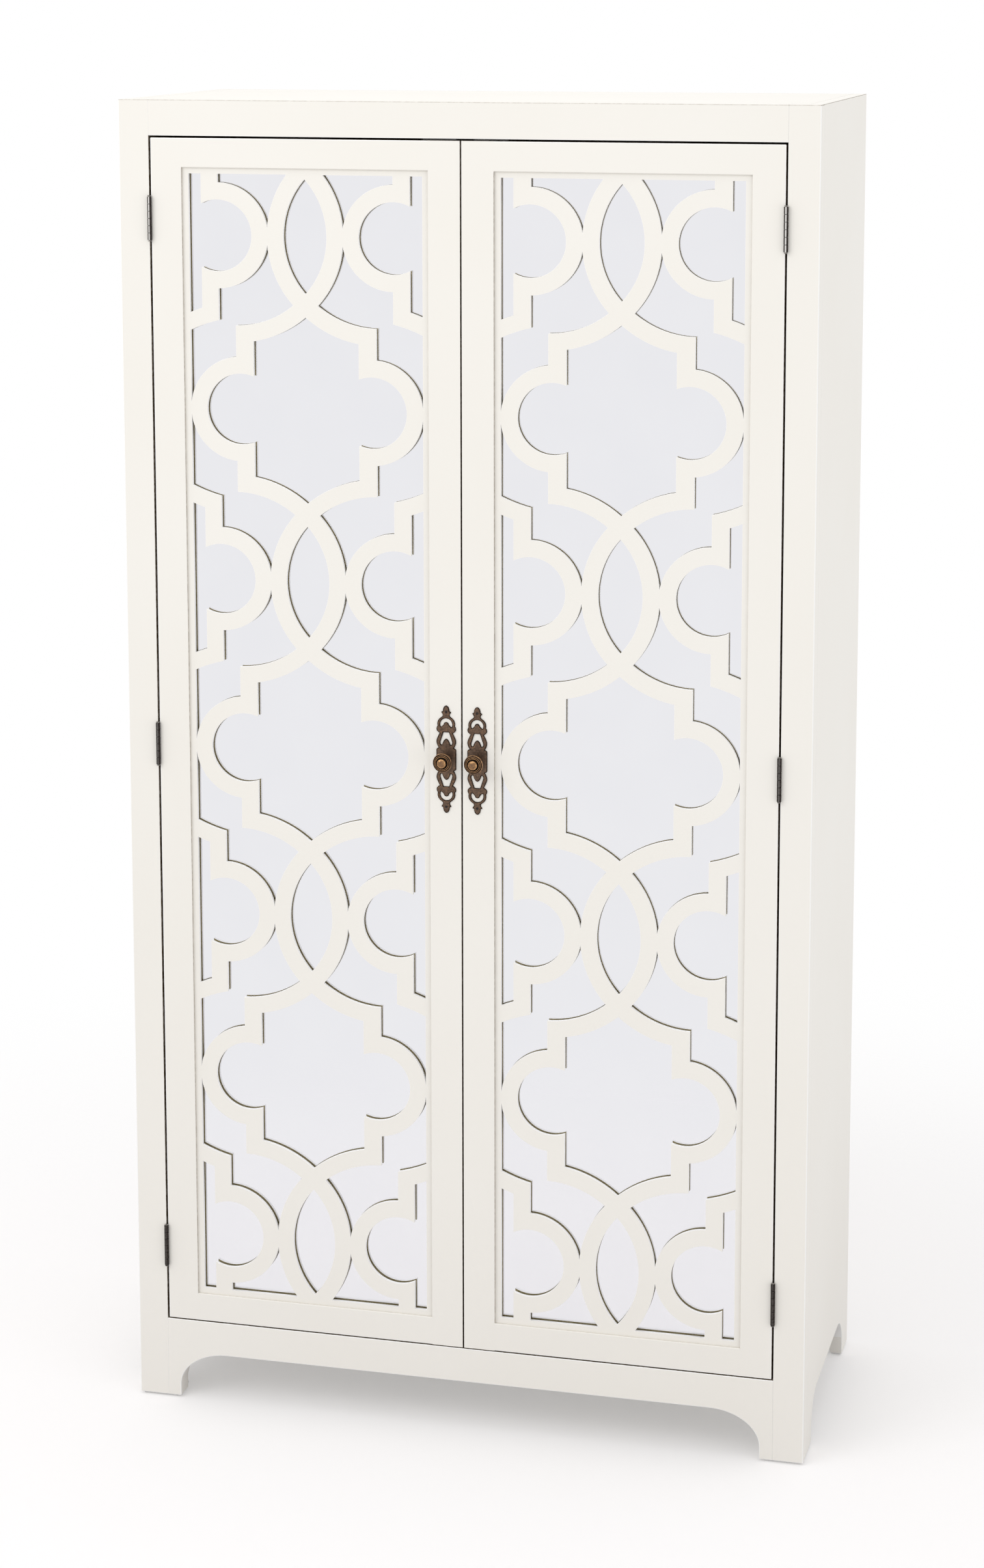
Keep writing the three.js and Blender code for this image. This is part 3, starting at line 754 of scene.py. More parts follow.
# %% Helpers for node trees
def start_tree(name, inputs):
    """A geometry tree with named inputs. Returns the tree and the inputs' sockets by name."""
    tree = bpy.data.node_groups.new(name, "GeometryNodeTree")
    tree.interface.new_socket("Geometry", in_out="INPUT", socket_type="NodeSocketGeometry")
    for label, kind in inputs.items():
        tree.interface.new_socket(label, in_out="INPUT", socket_type=kind)
    tree.interface.new_socket("Geometry", in_out="OUTPUT", socket_type="NodeSocketGeometry")
    group_input = tree.nodes.new("NodeGroupInput")
    return tree, group_input.outputs


def run_tree(name, mesh, tree, values):
    """Runs a tree on a mesh and returns the plain mesh that comes out."""
    piece = new_piece(name, mesh)
    modifier = piece.modifiers.new("rule", "NODES")
    modifier.node_group = tree
    for item in tree.interface.items_tree:
        if item.in_out == "INPUT" and item.name in values:
            modifier[item.identifier] = values[item.name]
    return settle(piece)


print("tree helpers ready")

# %% Build the fretwork tree
def fretwork_tree():
    tree, given = start_tree("fretwork", {
        "Repeats": "NodeSocketInt", "Pitch": "NodeSocketFloat", "Sheet": "NodeSocketVector",
        "Trim": "NodeSocketVector", "Place": "NodeSocketVector", "Paint": "NodeSocketMaterial",
        "Bare": "NodeSocketMaterial"})
    spare = calculated(tree, "SUBTRACT", given["Repeats"], 1.0)
    half = calculated(tree, "MULTIPLY", spare, -0.5)
    start_z = calculated(tree, "MULTIPLY", half, given["Pitch"])
    start = made(tree, "ShaderNodeCombineXYZ", {"Y": start_z})
    step = made(tree, "ShaderNodeCombineXYZ", {"Y": given["Pitch"]})
    line = made(tree, "GeometryNodeMeshLine", {
        "Count": given["Repeats"], "Start Location": start, "Offset": step})
    stacked = made(tree, "GeometryNodeInstanceOnPoints", {"Points": line, "Instance": given["Geometry"]})
    loose = made(tree, "GeometryNodeRealizeInstances", {"Geometry": stacked})
    curves = made(tree, "GeometryNodeMeshToCurve", {"Mesh": loose})
    filled = made(tree, "GeometryNodeFillCurve", {"Curve": curves}, mode="NGONS")
    depth = add_node(tree, "ShaderNodeSeparateXYZ", {0: given["Trim"]}).outputs["Z"]
    raised = made(tree, "GeometryNodeExtrudeMesh", {
        "Mesh": filled, "Offset Scale": depth, "Individual": False}, mode="FACES")
    lids = made(tree, "GeometryNodeFlipFaces", {"Mesh": filled})
    closed = add_node(tree, "GeometryNodeJoinGeometry", {"Geometry": raised})
    tree.links.new(lids, closed.inputs["Geometry"])
    welded = made(tree, "GeometryNodeMergeByDistance", {
        "Geometry": closed.outputs[0], "Distance": 0.001 * MM})
    below = made(tree, "ShaderNodeCombineXYZ", {"Z": calculated(tree, "MULTIPLY", depth, -0.5)})
    centred = made(tree, "GeometryNodeTransform", {"Geometry": welded, "Translation": below})
    trim = made(tree, "ShaderNodeVectorMath", {0: given["Trim"], 1: (1.0, 1.0, 0.8)},
                operation="MULTIPLY")
    block = made(tree, "GeometryNodeMeshCube", {"Size": trim})
    cutters = add_node(tree, "GeometryNodeMeshBoolean", {"Mesh 2": block},
                       operation="INTERSECT", solver="EXACT")
    tree.links.new(centred, cutters.inputs["Mesh 2"])
    sheet = made(tree, "GeometryNodeMeshCube", {"Size": given["Sheet"]})
    pierced = made(tree, "GeometryNodeMeshBoolean", {"Mesh 1": sheet, "Mesh 2": cutters.outputs[0]},
                   operation="DIFFERENCE", solver="EXACT")
    upright = made(tree, "GeometryNodeTransform", {
        "Geometry": pierced, "Translation": given["Place"], "Rotation": (math.radians(90), 0, 0)})
    whole = made(tree, "GeometryNodeRealizeInstances", {"Geometry": upright})
    painted = made(tree, "GeometryNodeSetMaterial", {"Geometry": whole, "Material": given["Paint"]})
    facing = add_node(tree, "ShaderNodeSeparateXYZ", {0: made(tree, "GeometryNodeInputNormal")})
    behind = made(tree, "FunctionNodeCompare", {0: facing.outputs["Y"], 1: 0.9},
                  operation="GREATER_THAN")
    bare = made(tree, "GeometryNodeSetMaterial", {
        "Geometry": painted, "Selection": behind, "Material": given["Bare"]})
    add_node(tree, "NodeGroupOutput", {"Geometry": bare})
    return tree


fretwork_rule = fretwork_tree()
print("fretwork tree", len(fretwork_rule.nodes), "nodes")

# %% Cut both fretwork panels
ROUTED, REPEATS = 0.7 * MM, 4


def paint_cut_edge_highlight(mesh):
    """Paints the routed walls and their rounded edges lighter, as a painted highlight."""
    # Every face that is not flat to the front or back gets a painted highlight.
    arris = mesh.attributes.new("arris", "FLOAT", "FACE")
    for face in mesh.polygons:
        arris.data[face.index].value = abs(face.normal.y) < SQUARE


def cut_fretwork(hand):
    node = f"{hand}_door_fretwork"
    low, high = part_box(node)
    size = high - low
    piece = run_tree(f"{node}_panel", wires("repeat", one_repeat()), fretwork_rule, {
        "Repeats": REPEATS, "Pitch": PITCH * MM, "Sheet": (size.x, size.z, size.y),
        "Trim": (2 * FRET_FRAME[0] * MM, 2 * FRET_FRAME[1] * MM, 4 * size.y),
        "Place": middle(node), "Paint": lacquer, "Bare": misted_mdf})
    form = whole_faces(piece.data, delimit={"MATERIAL"})
    form.to_mesh(piece.data)
    form.free()
    piece.data.materials.pop(index=0)   # The slot that the unpainted sheet came with.
    piece = round_arrises(piece, [], ROUTED, 2)
    paint_cut_edge_highlight(piece.data)
    hand_over(piece, DOORS[hand], "cream_paint", node)
    return piece


for hand in HANDS:
    panel = cut_fretwork(hand)
    print(panel.name, len(panel.data.polygons), "faces", list(panel.data.materials))

# %% [markdown]
# ## Mirrors
# The silver lies on the back of the glass, and glass bends light so that the silver seems to be
# about two thirds of the way back. A shader that is a plain mirror has to stand at that depth:
# then the back of the fretwork is reflected as an olive line beside every cut edge, which is what
# gives a mirror behind fretwork its depth.

# %% Hang the mirrors
SILVER_DEPTH = 2.6 * MM


def eased_block(name, low, high, easing, segments=2):
    """A block between two corners with its edges eased, as a piece of its own."""
    form = bmesh.new()
    bmesh.ops.create_cube(form, size=1.0)
    bmesh.ops.scale(form, vec=high - low, verts=form.verts)
    bmesh.ops.translate(form, vec=(low + high) / 2, verts=form.verts)
    return round_arrises(new_piece(name, mesh_of(form, name)), [], easing, segments)


def fit_block(node, ending, easing, finish, body, slot, segments=2):
    """Puts an eased block in the place of a CAD node."""
    block = eased_block(f"{node}_{ending}", *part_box(node), easing, segments)
    hand_over(block, body, slot, node, finish=finish)


for hand, body in DOORS.items():
    node = f"{hand}_door_mirror"
    low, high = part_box(node)
    glass = eased_block(f"{node}_silver", low + Vector((0, SILVER_DEPTH, 0)), high, 0.5 * MM)
    hand_over(glass, body, "mirror_glass", node, finish=mirror_glass)
    fit_block(f"{hand}_door_backing_board", "cut", 0.6 * MM, hardboard, body, "hardboard")
print("mirrors and backing boards hung")

# %% [markdown]
# ## Turned pieces
# Knobs, pins, screws and hinge knuckles are all turned, so one function sweeps a profile round
# an axis. A profile that starts and ends on the axis makes a solid, and a closed profile makes
# a ring. Each point of a profile can carry how far it was rubbed by buffing.

# %% Turn a profile
def turned(name, profile, segments, rubs=None, closed=False):
    """A mesh swept round z from (radius, height) points given in millimetres."""
    form = bmesh.new()
    rub_layer = form.verts.layers.float.new("rub")
    rings = []
    for index, (radius, height) in enumerate(profile):
        count = segments if radius > 0 else 1
        ring = []
        for i in range(count):
            angle = 2 * math.pi * i / segments
            x, y = radius * MM * math.cos(angle), radius * MM * math.sin(angle)
            vertex = form.verts.new((x, y, height * MM))
            vertex[rub_layer] = rubs[index] if rubs else 0.0
            ring.append(vertex)
        rings.append(ring)
    pairs = list(zip(rings, rings[1:]))
    if closed:
        pairs.append((rings[-1], rings[0]))
    for a, b in pairs:
        for i in range(segments):
            j = (i + 1) % segments
            corners = [a[i % len(a)], a[j % len(a)], b[j % len(b)], b[i % len(b)]]
            form.faces.new(list(dict.fromkeys(corners)))
    bmesh.ops.recalc_face_normals(form, faces=form.faces)
    mesh = mesh_of(form, name)
    smooth_by_angle(mesh, 40)
    return mesh


def mount_brass(hand, part, mesh):
    """Stands a brass part upright against the place of the CAD part's back and hands it over."""
    node = f"{hand}_door_{part}"
    centre, back = middle(node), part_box(node)[1].y
    mesh.transform(Matrix.Translation((centre.x, back, centre.z)) @ UPRIGHT)
    hand_over(new_piece(mesh.name, mesh), DOORS[hand], "antique_brass", node, finish=brass)
    print(mesh.name, len(mesh.polygons), "faces")


def eased(points, steps=3):
    """A smooth line through points, by Catmull and Rom's rule. Extra values are eased as well."""
    line = []
    last = len(points) - 1
    for i in range(last):
        a, b, c, d = (points[max(i - 1, 0)], points[i], points[i + 1], points[min(i + 2, last)])
        for k in range(steps):
            t = k / steps
            line.append(tuple(
                0.5 * (2 * q + (r - p) * t + (2 * p - 5 * q + 4 * r - s) * t ** 2
                       + (3 * q - p - 3 * r + s) * t ** 3)
                for p, q, r, s in zip(a, b, c, d)))
    line.append(tuple(points[last]))
    return line


print("lathe ready")

# %% [markdown]
# ## Knobs
# A knob is one brass turning: a foot on the plate, a slim neck, a flaring bowl with a beaded rim,
# two rings inside it and a domed button. The crests of the rim and the rings and the shoulder of
# the button were buffed to gold. The grooves kept their patina, which draws the dark rings.

# %% Turn the knobs
KNOB_BORE = [(0, 12.0, 0.1), (2.3, 12.0, 0.1), (2.3, 0.0, 0.1)]   # radius, height, rub
KNOB_OUTSIDE = [
    (6.4, 0.0, 0.2), (6.9, 0.7, 0.5), (6.5, 1.6, 0.4), (5.0, 2.8, 0.3), (4.3, 5.0, 0.4),
    (4.2, 8.5, 0.45), (4.6, 11.5, 0.4), (6.0, 14.2, 0.35), (8.6, 16.2, 0.35), (11.2, 17.4, 0.35),
    (12.7, 18.7, 0.4), (13.0, 20.0, 0.5), (12.8, 21.1, 0.85), (12.2, 21.9, 0.4), (11.7, 21.7, 0.0),
    (11.2, 21.6, 0.0), (10.9, 22.1, 0.3), (10.4, 22.7, 0.8), (9.9, 22.4, 0.2), (9.5, 22.1, 0.0),
    (9.2, 22.6, 0.2), (8.7, 23.2, 0.8), (8.1, 23.0, 0.2), (7.6, 22.4, 0.0), (7.0, 22.2, 0.0),
    (6.5, 22.8, 0.0), (6.3, 24.6, 0.4), (6.0, 26.0, 1.0), (4.9, 27.2, 0.75), (2.8, 27.85, 0.6),
    (0.4, 28.0, 0.6)]
KNOB_CROWN = [(0, 28.0, 0.6)]


def knob_mesh(name):
    """The knob about its own axis, with the bore for its screw."""
    profile = KNOB_BORE + eased(KNOB_OUTSIDE) + KNOB_CROWN
    return turned(name, [point[:2] for point in profile], 72, [point[2] for point in profile])


for hand in HANDS:
    mount_brass(hand, "knob", knob_mesh(f"{hand}_door_knob_turned"))

# %% [markdown]
# ## Backplates
# Each backplate is a pierced casting. Its outline and its openings are drawn once for a quarter
# and mirrored. Blender's filled curve gives a bevelled edge all round, inside and out, so two of
# them make the plate: a thin flange, and a raised field set in from it.

# %% Draw the backplate
PLATE_EDGE = [  # corner, or the control point and the end of a curve
    [(13.8, 0)], [(13.8, 13.2)], [(12.8, 14.8)], [(10.6, 15.8)], [(15.2, 23), (13, 28)],
    [(11.5, 32), (9.2, 36)], [(13.6, 38.5), (13.6, 41.5)], [(13.4, 44.5), (12, 45.6)],
    [(14, 54), (5.4, 58.8)], [(4.4, 60.5), (5, 62)], [(7, 65)], [(4.6, 66.2)], [(4.4, 73), (0, 74)]]
TAPERED = [
    [(3.8, 37.2)], [(-3.8, 37.2)], [(-8.2, 24)], [(-8.6, 19.6), (-5.8, 20)], [(-3.4, 28), (0, 28.4)],
    [(3.4, 28), (5.8, 20)], [(8.6, 19.6), (8.2, 24)]]
CRESCENT = {"centre": 48, "radius": 8.4, "tongue_centre": 47.6, "tongue": 3.6, "dip": 22}


def traced(steps_list, steps=6):
    """Points along straight lines and quadratic curves."""
    points = []
    for step in steps_list:
        if len(step) == 1 or not points:
            points.append(step[-1])
            continue
        start, control, end = points[-1], step[0], step[1]
        for k in range(1, steps + 1):
            t = k / steps
            points.append(tuple((1 - t) ** 2 * s + 2 * t * (1 - t) * c + t * t * e
                                for s, c, e in zip(start, control, end)))
    return points


def round_arc(centre, radius, start, end, steps):
    """Points on a circle about (0, centre), between two angles in degrees."""
    angles = [math.radians(start + (end - start) * i / steps) for i in range(steps + 1)]
    return [(radius * math.cos(angle), centre + radius * math.sin(angle)) for angle in angles]


def crescent_outline():
    """A crescent round a rounded tongue."""
    dip = CRESCENT["dip"]
    outer = round_arc(CRESCENT["centre"], CRESCENT["radius"], -dip, 180 + dip, 24)
    inner = round_arc(CRESCENT["tongue_centre"], CRESCENT["tongue"], 180, 0, 12)
    left = traced([[outer[-1]], [(-6.4, 44.2), (-4.6, 47)]], 4)[1:]
    right = traced([[inner[-1]], [(4.6, 47)], [(6.4, 44.2), outer[0]]], 4)[1:-1]
    return outer + left + inner + right


def wound(points, way):
    """The outline turned anticlockwise (way 1) or clockwise (way -1)."""
    area = sum(x1 * z2 - x2 * z1 for (x1, z1), (x2, z2) in zip(points, points[1:] + points[:1]))
    return points if area * way > 0 else points[::-1]


def plate_outlines():
    """The whole outline and the four openings."""
    quarter = traced(PLATE_EDGE)
    right = flip(quarter, 1, -1)[::-1] + quarter[1:]
    outline = wound(right + flip(right[1:-1], -1, -1), 1)
    openings = [wound(flip(shape, 1, way), -1)
                for shape in (crescent_outline(), traced(TAPERED)) for way in (1, -1)]
    return [outline] + openings


def filled_layer(name, outlines, inset, thickness, bevel, rise):
    """A bevelled sheet with openings, flat on x and y, standing on height rise."""
    curve = bpy.data.curves.new(name, "CURVE")
    curve.dimensions = "2D"
    curve.fill_mode = "BOTH"
    curve.extrude = (thickness / 2 - bevel) * MM
    curve.bevel_depth = bevel * MM
    curve.bevel_resolution = 2
    curve.offset = -(inset + bevel) * MM
    for outline in outlines:
        spline = curve.splines.new("POLY")
        spline.points.add(len(outline) - 1)
        for point, (x, z) in zip(spline.points, outline):
            point.co = (x * MM, z * MM, 0, 1)
        spline.use_cyclic_u = True
    layer = settle(new_piece(name, curve))
    layer.data.transform(Matrix.Translation((0, 0, (rise + thickness / 2) * MM)))
    return layer


def join_meshes(name, pieces):
    """One mesh from several objects, which are removed."""
    form = bmesh.new()
    for piece in pieces:
        form.from_mesh(piece.data)
        bpy.data.objects.remove(piece)
    bmesh.ops.remove_doubles(form, verts=form.verts, dist=0.002 * MM)
    return mesh_of(form, name)


FLANGE, FIELD = 1.1, 0.9
FLANGE_BEVEL, FIELD_BEVEL, FIELD_INSET, SUNK = 0.35, 0.4, 1.1, 0.4
FIELD_RUB, EDGE_RUB, HOLLOW_RUB = 0.38, 0.5, 0.06


def backplate_mesh(name):
    """Flange and field in one mesh, rubbed most where the field stands proud."""
    outlines = plate_outlines()
    flange = filled_layer("flange", outlines, 0.0, FLANGE, FLANGE_BEVEL, 0.0)
    field = filled_layer("field", outlines, FIELD_INSET, FIELD, FIELD_BEVEL, FLANGE - SUNK)
    mesh = join_meshes(name, [flange, field])
    smooth_by_angle(mesh, 50)
    rub = mesh.attributes.new("rub", "FLOAT", "POINT")
    proud = (FLANGE - SUNK + FIELD) * MM
    for vertex in mesh.vertices:
        height = vertex.co.z / proud
        reached = FIELD_RUB if height > 0.97 else EDGE_RUB if height > 0.85 else HOLLOW_RUB
        rub.data[vertex.index].value = reached
    return mesh


for hand in HANDS:
    mount_brass(hand, "backplate", backplate_mesh(f"{hand}_door_backplate_cast"))

# %% [markdown]
# ## Placing copies
# Screws, brads, staples and knuckles repeat. Each kind is modelled once, with its axis along z
# and its head one unit in radius. A second tree puts a copy on every point of a mesh, turned
# and sized by what that point carries. Each run gives one plain mesh.

# %% Build the tree that places copies
def copies_tree():
    tree, given = start_tree("placed_copies", {
        "Template": "NodeSocketObject", "Metal": "NodeSocketMaterial"})
    template = add_node(tree, "GeometryNodeObjectInfo", {
        "Object": given["Template"], "As Instance": True})
    turn = add_node(tree, "GeometryNodeInputNamedAttribute", {"Name": "turn"}, data_type="FLOAT_VECTOR")
    size = add_node(tree, "GeometryNodeInputNamedAttribute", {"Name": "size"}, data_type="FLOAT_VECTOR")
    copies = made(tree, "GeometryNodeInstanceOnPoints", {
        "Points": given["Geometry"], "Instance": template.outputs["Geometry"],
        "Rotation": turn.outputs["Attribute"], "Scale": size.outputs["Attribute"]})
    whole = made(tree, "GeometryNodeRealizeInstances", {"Geometry": copies})
    coated = made(tree, "GeometryNodeSetMaterial", {"Geometry": whole, "Material": given["Metal"]})
    add_node(tree, "NodeGroupOutput", {"Geometry": coated})
    return tree


copies_rule = copies_tree()


def place_copies(name, template, spots, metal):
    """One mesh of copies. A spot is (place, direction, spin in degrees, size as x, y, z)."""
    mesh = bpy.data.meshes.new(name)
    mesh.from_pydata([spot[0] for spot in spots], [], [])
    turn = mesh.attributes.new("turn", "FLOAT_VECTOR", "POINT")
    size = mesh.attributes.new("size", "FLOAT_VECTOR", "POINT")
    for i, (_, direction, spin, scale) in enumerate(spots):
        aimed = Vector(direction).to_track_quat("Z", "Y").to_matrix()
        turn.data[i].vector = (aimed @ Matrix.Rotation(math.radians(spin), 3, "Z")).to_euler()
        size.data[i].vector = scale
    return run_tree(name, mesh, copies_rule, {"Template": template, "Metal": metal})


def drive(name, template, spots, body, *replaced, metal=zinc_steel, slot="bright_steel"):
    """Places copies and hands them over to one body."""
    hand_over(place_copies(name, template, spots, metal), body, slot, *replaced)


print("copies tree", len(copies_rule.nodes), "nodes")

# %% Model one screw, one brad and one staple
CROSS_WIDTH, CROSS_REACH, CROSS_DEPTH = 0.14, 0.56, 0.3
STAPLE = [(-5, -6), (-5, 0.1), (-4.5, 0.6), (4.5, 0.6), (5, 0.1),
          (5, -6), (4, -6), (4, -0.4), (-4, -0.4), (-4, -6)]


def unit_turned(name, profile, segments):
    """A turned template whose head is one unit in radius."""
    return turned(name, [(r / MM, h / MM) for r, h in profile], segments)


def screw_template():
    """A crosshead screw with a low oval head one unit in radius, and its tapered shank."""
    dome = [(0, 0.3)] + [(r, 0.3 * (1 - r * r)) for r in (0.14, 0.3, 0.42, 0.56, 0.7, 0.84, 0.95)]
    profile = dome + [(1.0, -0.04), (0.46, -0.6), (0.42, -2.6), (0, -3.4)]
    mesh = unit_turned("screw", profile, 24)
    for vertex in mesh.vertices:
        x, y, z = vertex.co
        narrow, far = min(abs(x), abs(y)), max(abs(x), abs(y))
        if z > 0 and narrow < CROSS_WIDTH and far < CROSS_REACH:
            vertex.co.z -= CROSS_DEPTH * (1 - 0.4 * far / CROSS_REACH)
    return new_piece("screw", mesh)


def brad_template():
    """A small flat-headed nail, eight-sided."""
    profile = [(0, 0.25), (0.8, 0.25), (1.0, 0.05), (1.0, -0.1), (0.4, -0.12), (0.4, -6), (0, -7)]
    return new_piece("brad", unit_turned("brad", profile, 8))


def staple_template():
    """The crown of a staple, ten by one, with its ends bent down into the board."""
    count = len(STAPLE)
    points = [(x, y, z) for y in (-0.5, 0.5) for x, z in STAPLE]
    faces = [(i, (i + 1) % count, (i + 1) % count + count, i + count) for i in range(count)]
    faces += [range(count)[::-1], range(count, 2 * count)]
    mesh = bpy.data.meshes.new("staple")
    mesh.from_pydata(points, [], faces)
    return new_piece("staple", mesh)


# How wide, deep and high each fixing is, for a template whose head has a radius of one.
PLATE_SCREW, KNOB_SCREW = (1.9 * MM, 1.9 * MM, 1.5 * MM), (4.2 * MM, 4.2 * MM, 4.4 * MM)
LEAF_SCREW, CATCH_SCREW = (2.6 * MM,) * 3, (2.2 * MM,) * 3
STRIKE_SCREW = (2.6 * MM, 2.6 * MM, 1.6 * MM)
BRAD_SIZE, STAPLE_SIZE = (1.1 * MM, 1.1 * MM, 1.0 * MM), (MM, MM, 0.5 * MM)
screw, brad, staple = screw_template(), brad_template(), staple_template()
templates = [screw, brad, staple]
print("templates", [(item.name, len(item.data.polygons)) for item in templates])

# %% [markdown]
# ## Hinges
# A butt hinge is two leaves rolled into knuckles round a pin. The leaves lie in the gap between
# door and case, three screws in each, and only the barrel shows. Knuckles belong in turn to the
# case and to the door, so they are placed by the same rule as screws, every other one on each
# body. The pin has a small round tip at each end. A bright stripe is painted along the front of
# each barrel as a highlight, standing in for a reflection of the high light: strong on the upper
# hinges, faint on the middle and lower ones.

# %% Make the hinges
KNUCKLES, KNUCKLE_LENGTH, KNUCKLE_GAP = 6, 9.75, 0.3
PIN_TIP = [(1.5, 0.15), (2.45, 0.3), (2.6, 0.75), (2.2, 1.2), (1.1, 1.42), (0, 1.5)]
LEAF_FACES, LEAF_START = (0.25 * MM, 1.0 * MM), 2.4 * MM
SCREW_ROWS = [(-20, 16.5), (0, 12.5), (20, 16.5)]   # height and depth behind the pin
# Where the painted highlight stripe starts in front of the pin, how fast it fades in, and how bright it
# is.
SHEEN_FROM, SHEEN_DEPTH = 2.75 * MM, 0.25 * MM
SHEEN_BY_HINGE = {"upper": 1.0, "middle": 0.15, "lower": 0.05}   # how bright the painted highlight stripe is on each hinge


def knuckle_template():
    """One knuckle, a tube with its outer edges eased."""
    half = (KNUCKLE_LENGTH - KNUCKLE_GAP) / 2
    profile = [(1.6, -half), (2.7, -half), (3.0, -half + 0.3),
               (3.0, half - 0.3), (2.7, half), (1.6, half)]
    return new_piece("knuckle", turned("knuckle", profile, 28, closed=True))


def pin_mesh(name, centre):
    """The pin, its shank inside the knuckles and a round tip above and below."""
    half = KNUCKLES * KNUCKLE_LENGTH / 2 + 0.3
    top = [(r, half + h) for r, h in PIN_TIP]
    profile = [(r, -h) for r, h in reversed(top)] + [(1.5, -half), (1.5, half)] + top
    mesh = turned(name, profile, 28)
    mesh.transform(Matrix.Translation(centre))
    return mesh


def paint_front_sheen(mesh, line, most):
    """Paints a bright highlight stripe along the front of the barrel, which stands proud of the door."""
    rub = mesh.attributes.get("rub") or mesh.attributes.new("rub", "FLOAT", "POINT")
    for vertex in mesh.vertices:
        rub.data[vertex.index].value = most * min(1.0, max(0.0, (line - vertex.co.y) / SHEEN_DEPTH))


knuckle = knuckle_template()
templates.append(knuckle)
leaf_screws = {}
for hand, side in HANDS.items():
    for height, painted_sheen in SHEEN_BY_HINGE.items():
        base = f"{hand}_{height}_hinge"
        pin_centre = middle(f"{base}_pin")
        tip = new_piece(f"{base}_pin_turned", pin_mesh(f"{base}_pin_turned", pin_centre))
        hand_over(tip, "case", "dark_steel", f"{base}_pin", finish=pin_steel)
        for first, part, way, body in ((0, "case", side, "case"), (1, "door", -side, DOORS[hand])):
            node = f"{base}_{part}_leaf"
            low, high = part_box(node)
            near, far = (pin_centre.x + way * face for face in LEAF_FACES)
            leaf = eased_block(
                "leaf", Vector((min(near, far), pin_centre.y + LEAF_START, low.z)),
                Vector((max(near, far), high.y, high.z)), 0.15 * MM)
            heights = [pin_centre.z + (i + 0.5 - KNUCKLES / 2) * KNUCKLE_LENGTH * MM
                       for i in range(first, KNUCKLES, 2)]
            spots = [((pin_centre.x, pin_centre.y, z), UPWARDS, 0, (1, 1, 1)) for z in heights]
            rolled = place_copies("rolled", knuckle, spots, blackened_steel)
            mesh = join_meshes(f"{node}_rolled", [leaf, rolled])
            smooth_by_angle(mesh, 40)
            # Paints the highlight stripe along the front of the barrel.
            paint_front_sheen(mesh, pin_centre.y - SHEEN_FROM, painted_sheen)
            hand_over(new_piece(mesh.name, mesh), body, "dark_steel", node, finish=blackened_steel)
            for row, (up, back) in enumerate(SCREW_ROWS):
                place = Vector((near + way * 0.12 * MM, pin_centre.y + back * MM, pin_centre.z + up * MM))
                leaf_screws.setdefault(body, []).append((place, (-way, 0, 0), 17 + 31 * row, LEAF_SCREW))
print("hinge screws", {body: len(spots) for body, spots in leaf_screws.items()})

# %% [markdown]
# ## Fixings
# Two oval-head screws hold each backplate, and the knob's machine screw comes through from the
# back of the door. Brads hold the backing boards, and staples hold the back of the case. Each
# kind is placed by a short rule: so many along an edge, a set distance in from it.

# %% Drive the screws, brads and staples
PLATE_SCREW_REACH, KNOB_SCREW_RISE = 65.3 * MM, 1.6 * MM


def along(start, end, count):
    """Evenly spread points between two ends, both included."""
    return [start.lerp(end, i / (count - 1)) for i in range(count)]


def round_the_edge(low, high, inset, y, across, upwards):
    """Points round an upright board, a set distance in from its edges, each with a direction."""
    a = Vector((low.x + inset, y, low.z + inset))
    b = Vector((high.x - inset, y, high.z - inset))
    points = []
    for z in (a.z, b.z):
        points += [(point, 0) for point in along(Vector((a.x, y, z)), Vector((b.x, y, z)), across)[1:-1]]
    for x in (a.x, b.x):
        points += [(point, 90) for point in along(Vector((x, y, a.z)), Vector((x, y, b.z)), upwards)]
    return points


for hand, body in DOORS.items():
    node = f"{hand}_door_backplate"
    centre, front = middle(node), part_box(node)[0].y
    spots = [(Vector((centre.x, front, centre.z + way * PLATE_SCREW_REACH)),
              FORWARDS, 20 * way, PLATE_SCREW) for way in (-1, 1)]
    drive(f"{hand}_door_plate_screws", screw, spots, body, metal=blackened_steel, slot="dark_steel")
    node = f"{hand}_door_knob_screw"
    centre, back = middle(node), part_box(node)[1].y
    spots = [(Vector((centre.x, back - KNOB_SCREW_RISE, centre.z)), BACKWARDS, 33, KNOB_SCREW)]
    drive(f"{hand}_door_knob_machine_screw", screw, spots, body, node)
    low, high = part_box(f"{hand}_door_backing_board")
    spots = [(point, BACKWARDS, 0, BRAD_SIZE)
             for point, _ in round_the_edge(low, high, 5 * MM, high.y, 5, 12)]
    drive(f"{hand}_door_backing_brads", brad, spots, body)
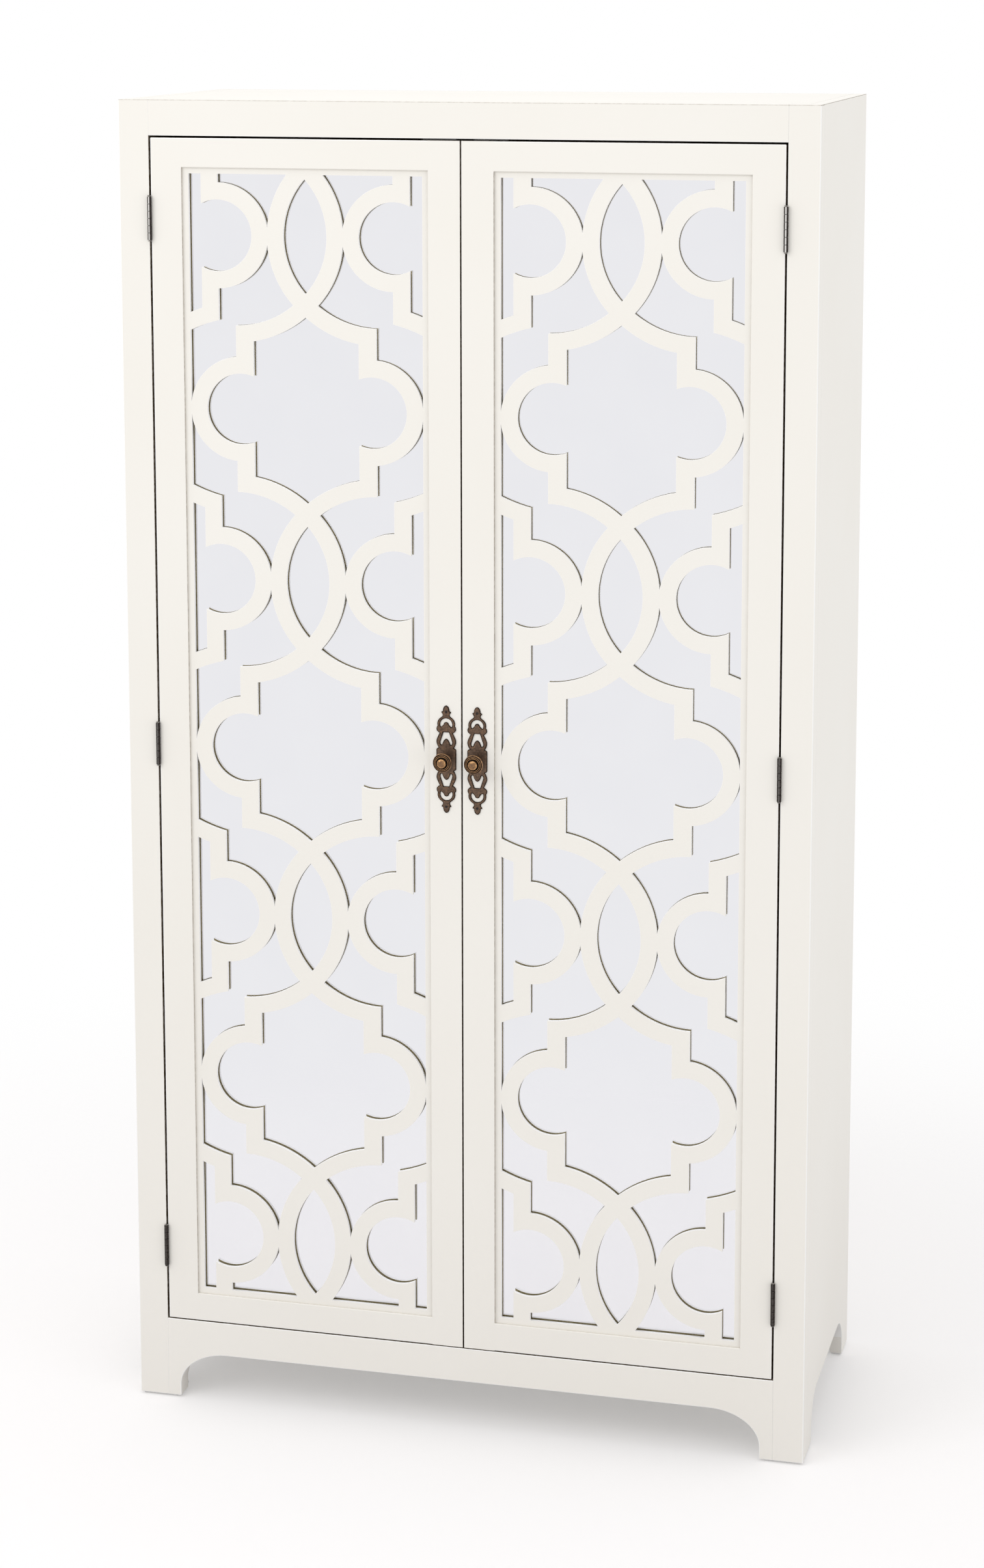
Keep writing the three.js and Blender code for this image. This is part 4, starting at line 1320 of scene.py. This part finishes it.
for body, spots in leaf_screws.items():
    drive(f"{body}_hinge_screws", screw, spots, body, metal=blackened_steel, slot="dark_steel")
low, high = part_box("back_panel")
spots = [(point, BACKWARDS, turn, STAPLE_SIZE)
         for point, turn in round_the_edge(low, high, 8 * MM, high.y - 0.2 * MM, 9, 15)]
drive("back_panel_staples", staple, spots, "case")
print("fixings driven")

# %% [markdown]
# ## Catches, strikes and glides
# A magnetic catch is a nylon body with two steel pole plates at its front, screwed up into the
# top rail. Its strike is a thin plate with one countersunk screw. The glides are nylon pads
# tacked under the feet. All are small moulded or stamped blocks with eased edges.

# %% Fit the catches, strikes and glides
POLES_UP, POLE_THICKNESS = (0.3, 0.62), 1.2 * MM

for hand, body in DOORS.items():
    node = f"{hand}_catch"
    low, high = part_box(node)
    fit_block(node, "body", 1.0 * MM, nylon, "case", "white_nylon", 3)
    poles = []
    for up in POLES_UP:
        bottom = low.z + up * (high.z - low.z)
        poles.append(eased_block(
            "pole", Vector((low.x + 4 * MM, low.y - 0.3 * MM, bottom)),
            Vector((high.x - 4 * MM, low.y + 6 * MM, bottom + POLE_THICKNESS)), 0.2 * MM))
    mesh = join_meshes(f"{hand}_catch_poles", poles)
    hand_over(new_piece(mesh.name, mesh), "case", "bright_steel", finish=zinc_steel)
    spots = [(Vector((x, middle(node).y, low.z)), DOWNWARDS, 25, CATCH_SCREW)
             for x in (low.x + 7 * MM, high.x - 7 * MM)]
    drive(f"{hand}_catch_screws", screw, spots, "case")
    node = f"{hand}_door_strike_plate"
    fit_block(node, "stamped", 0.3 * MM, zinc_steel, body, "bright_steel")
    centre, back = middle(node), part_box(node)[1].y
    spots = [(Vector((centre.x, back - 0.2 * MM, centre.z)), BACKWARDS, 40, STRIKE_SCREW)]
    drive(f"{node}_screw", screw, spots, body)
    for end in ("front", "rear"):
        fit_block(f"{end}_{hand}_glide", "pad", 0.8 * MM, nylon, "case", "white_nylon", 3)
print("catches, strikes and glides fitted")

# %% [markdown]
# ## Clearing up
# The templates have done their work and are removed.

# %% Clear up and finish
for template in templates:
    bpy.data.objects.remove(template)
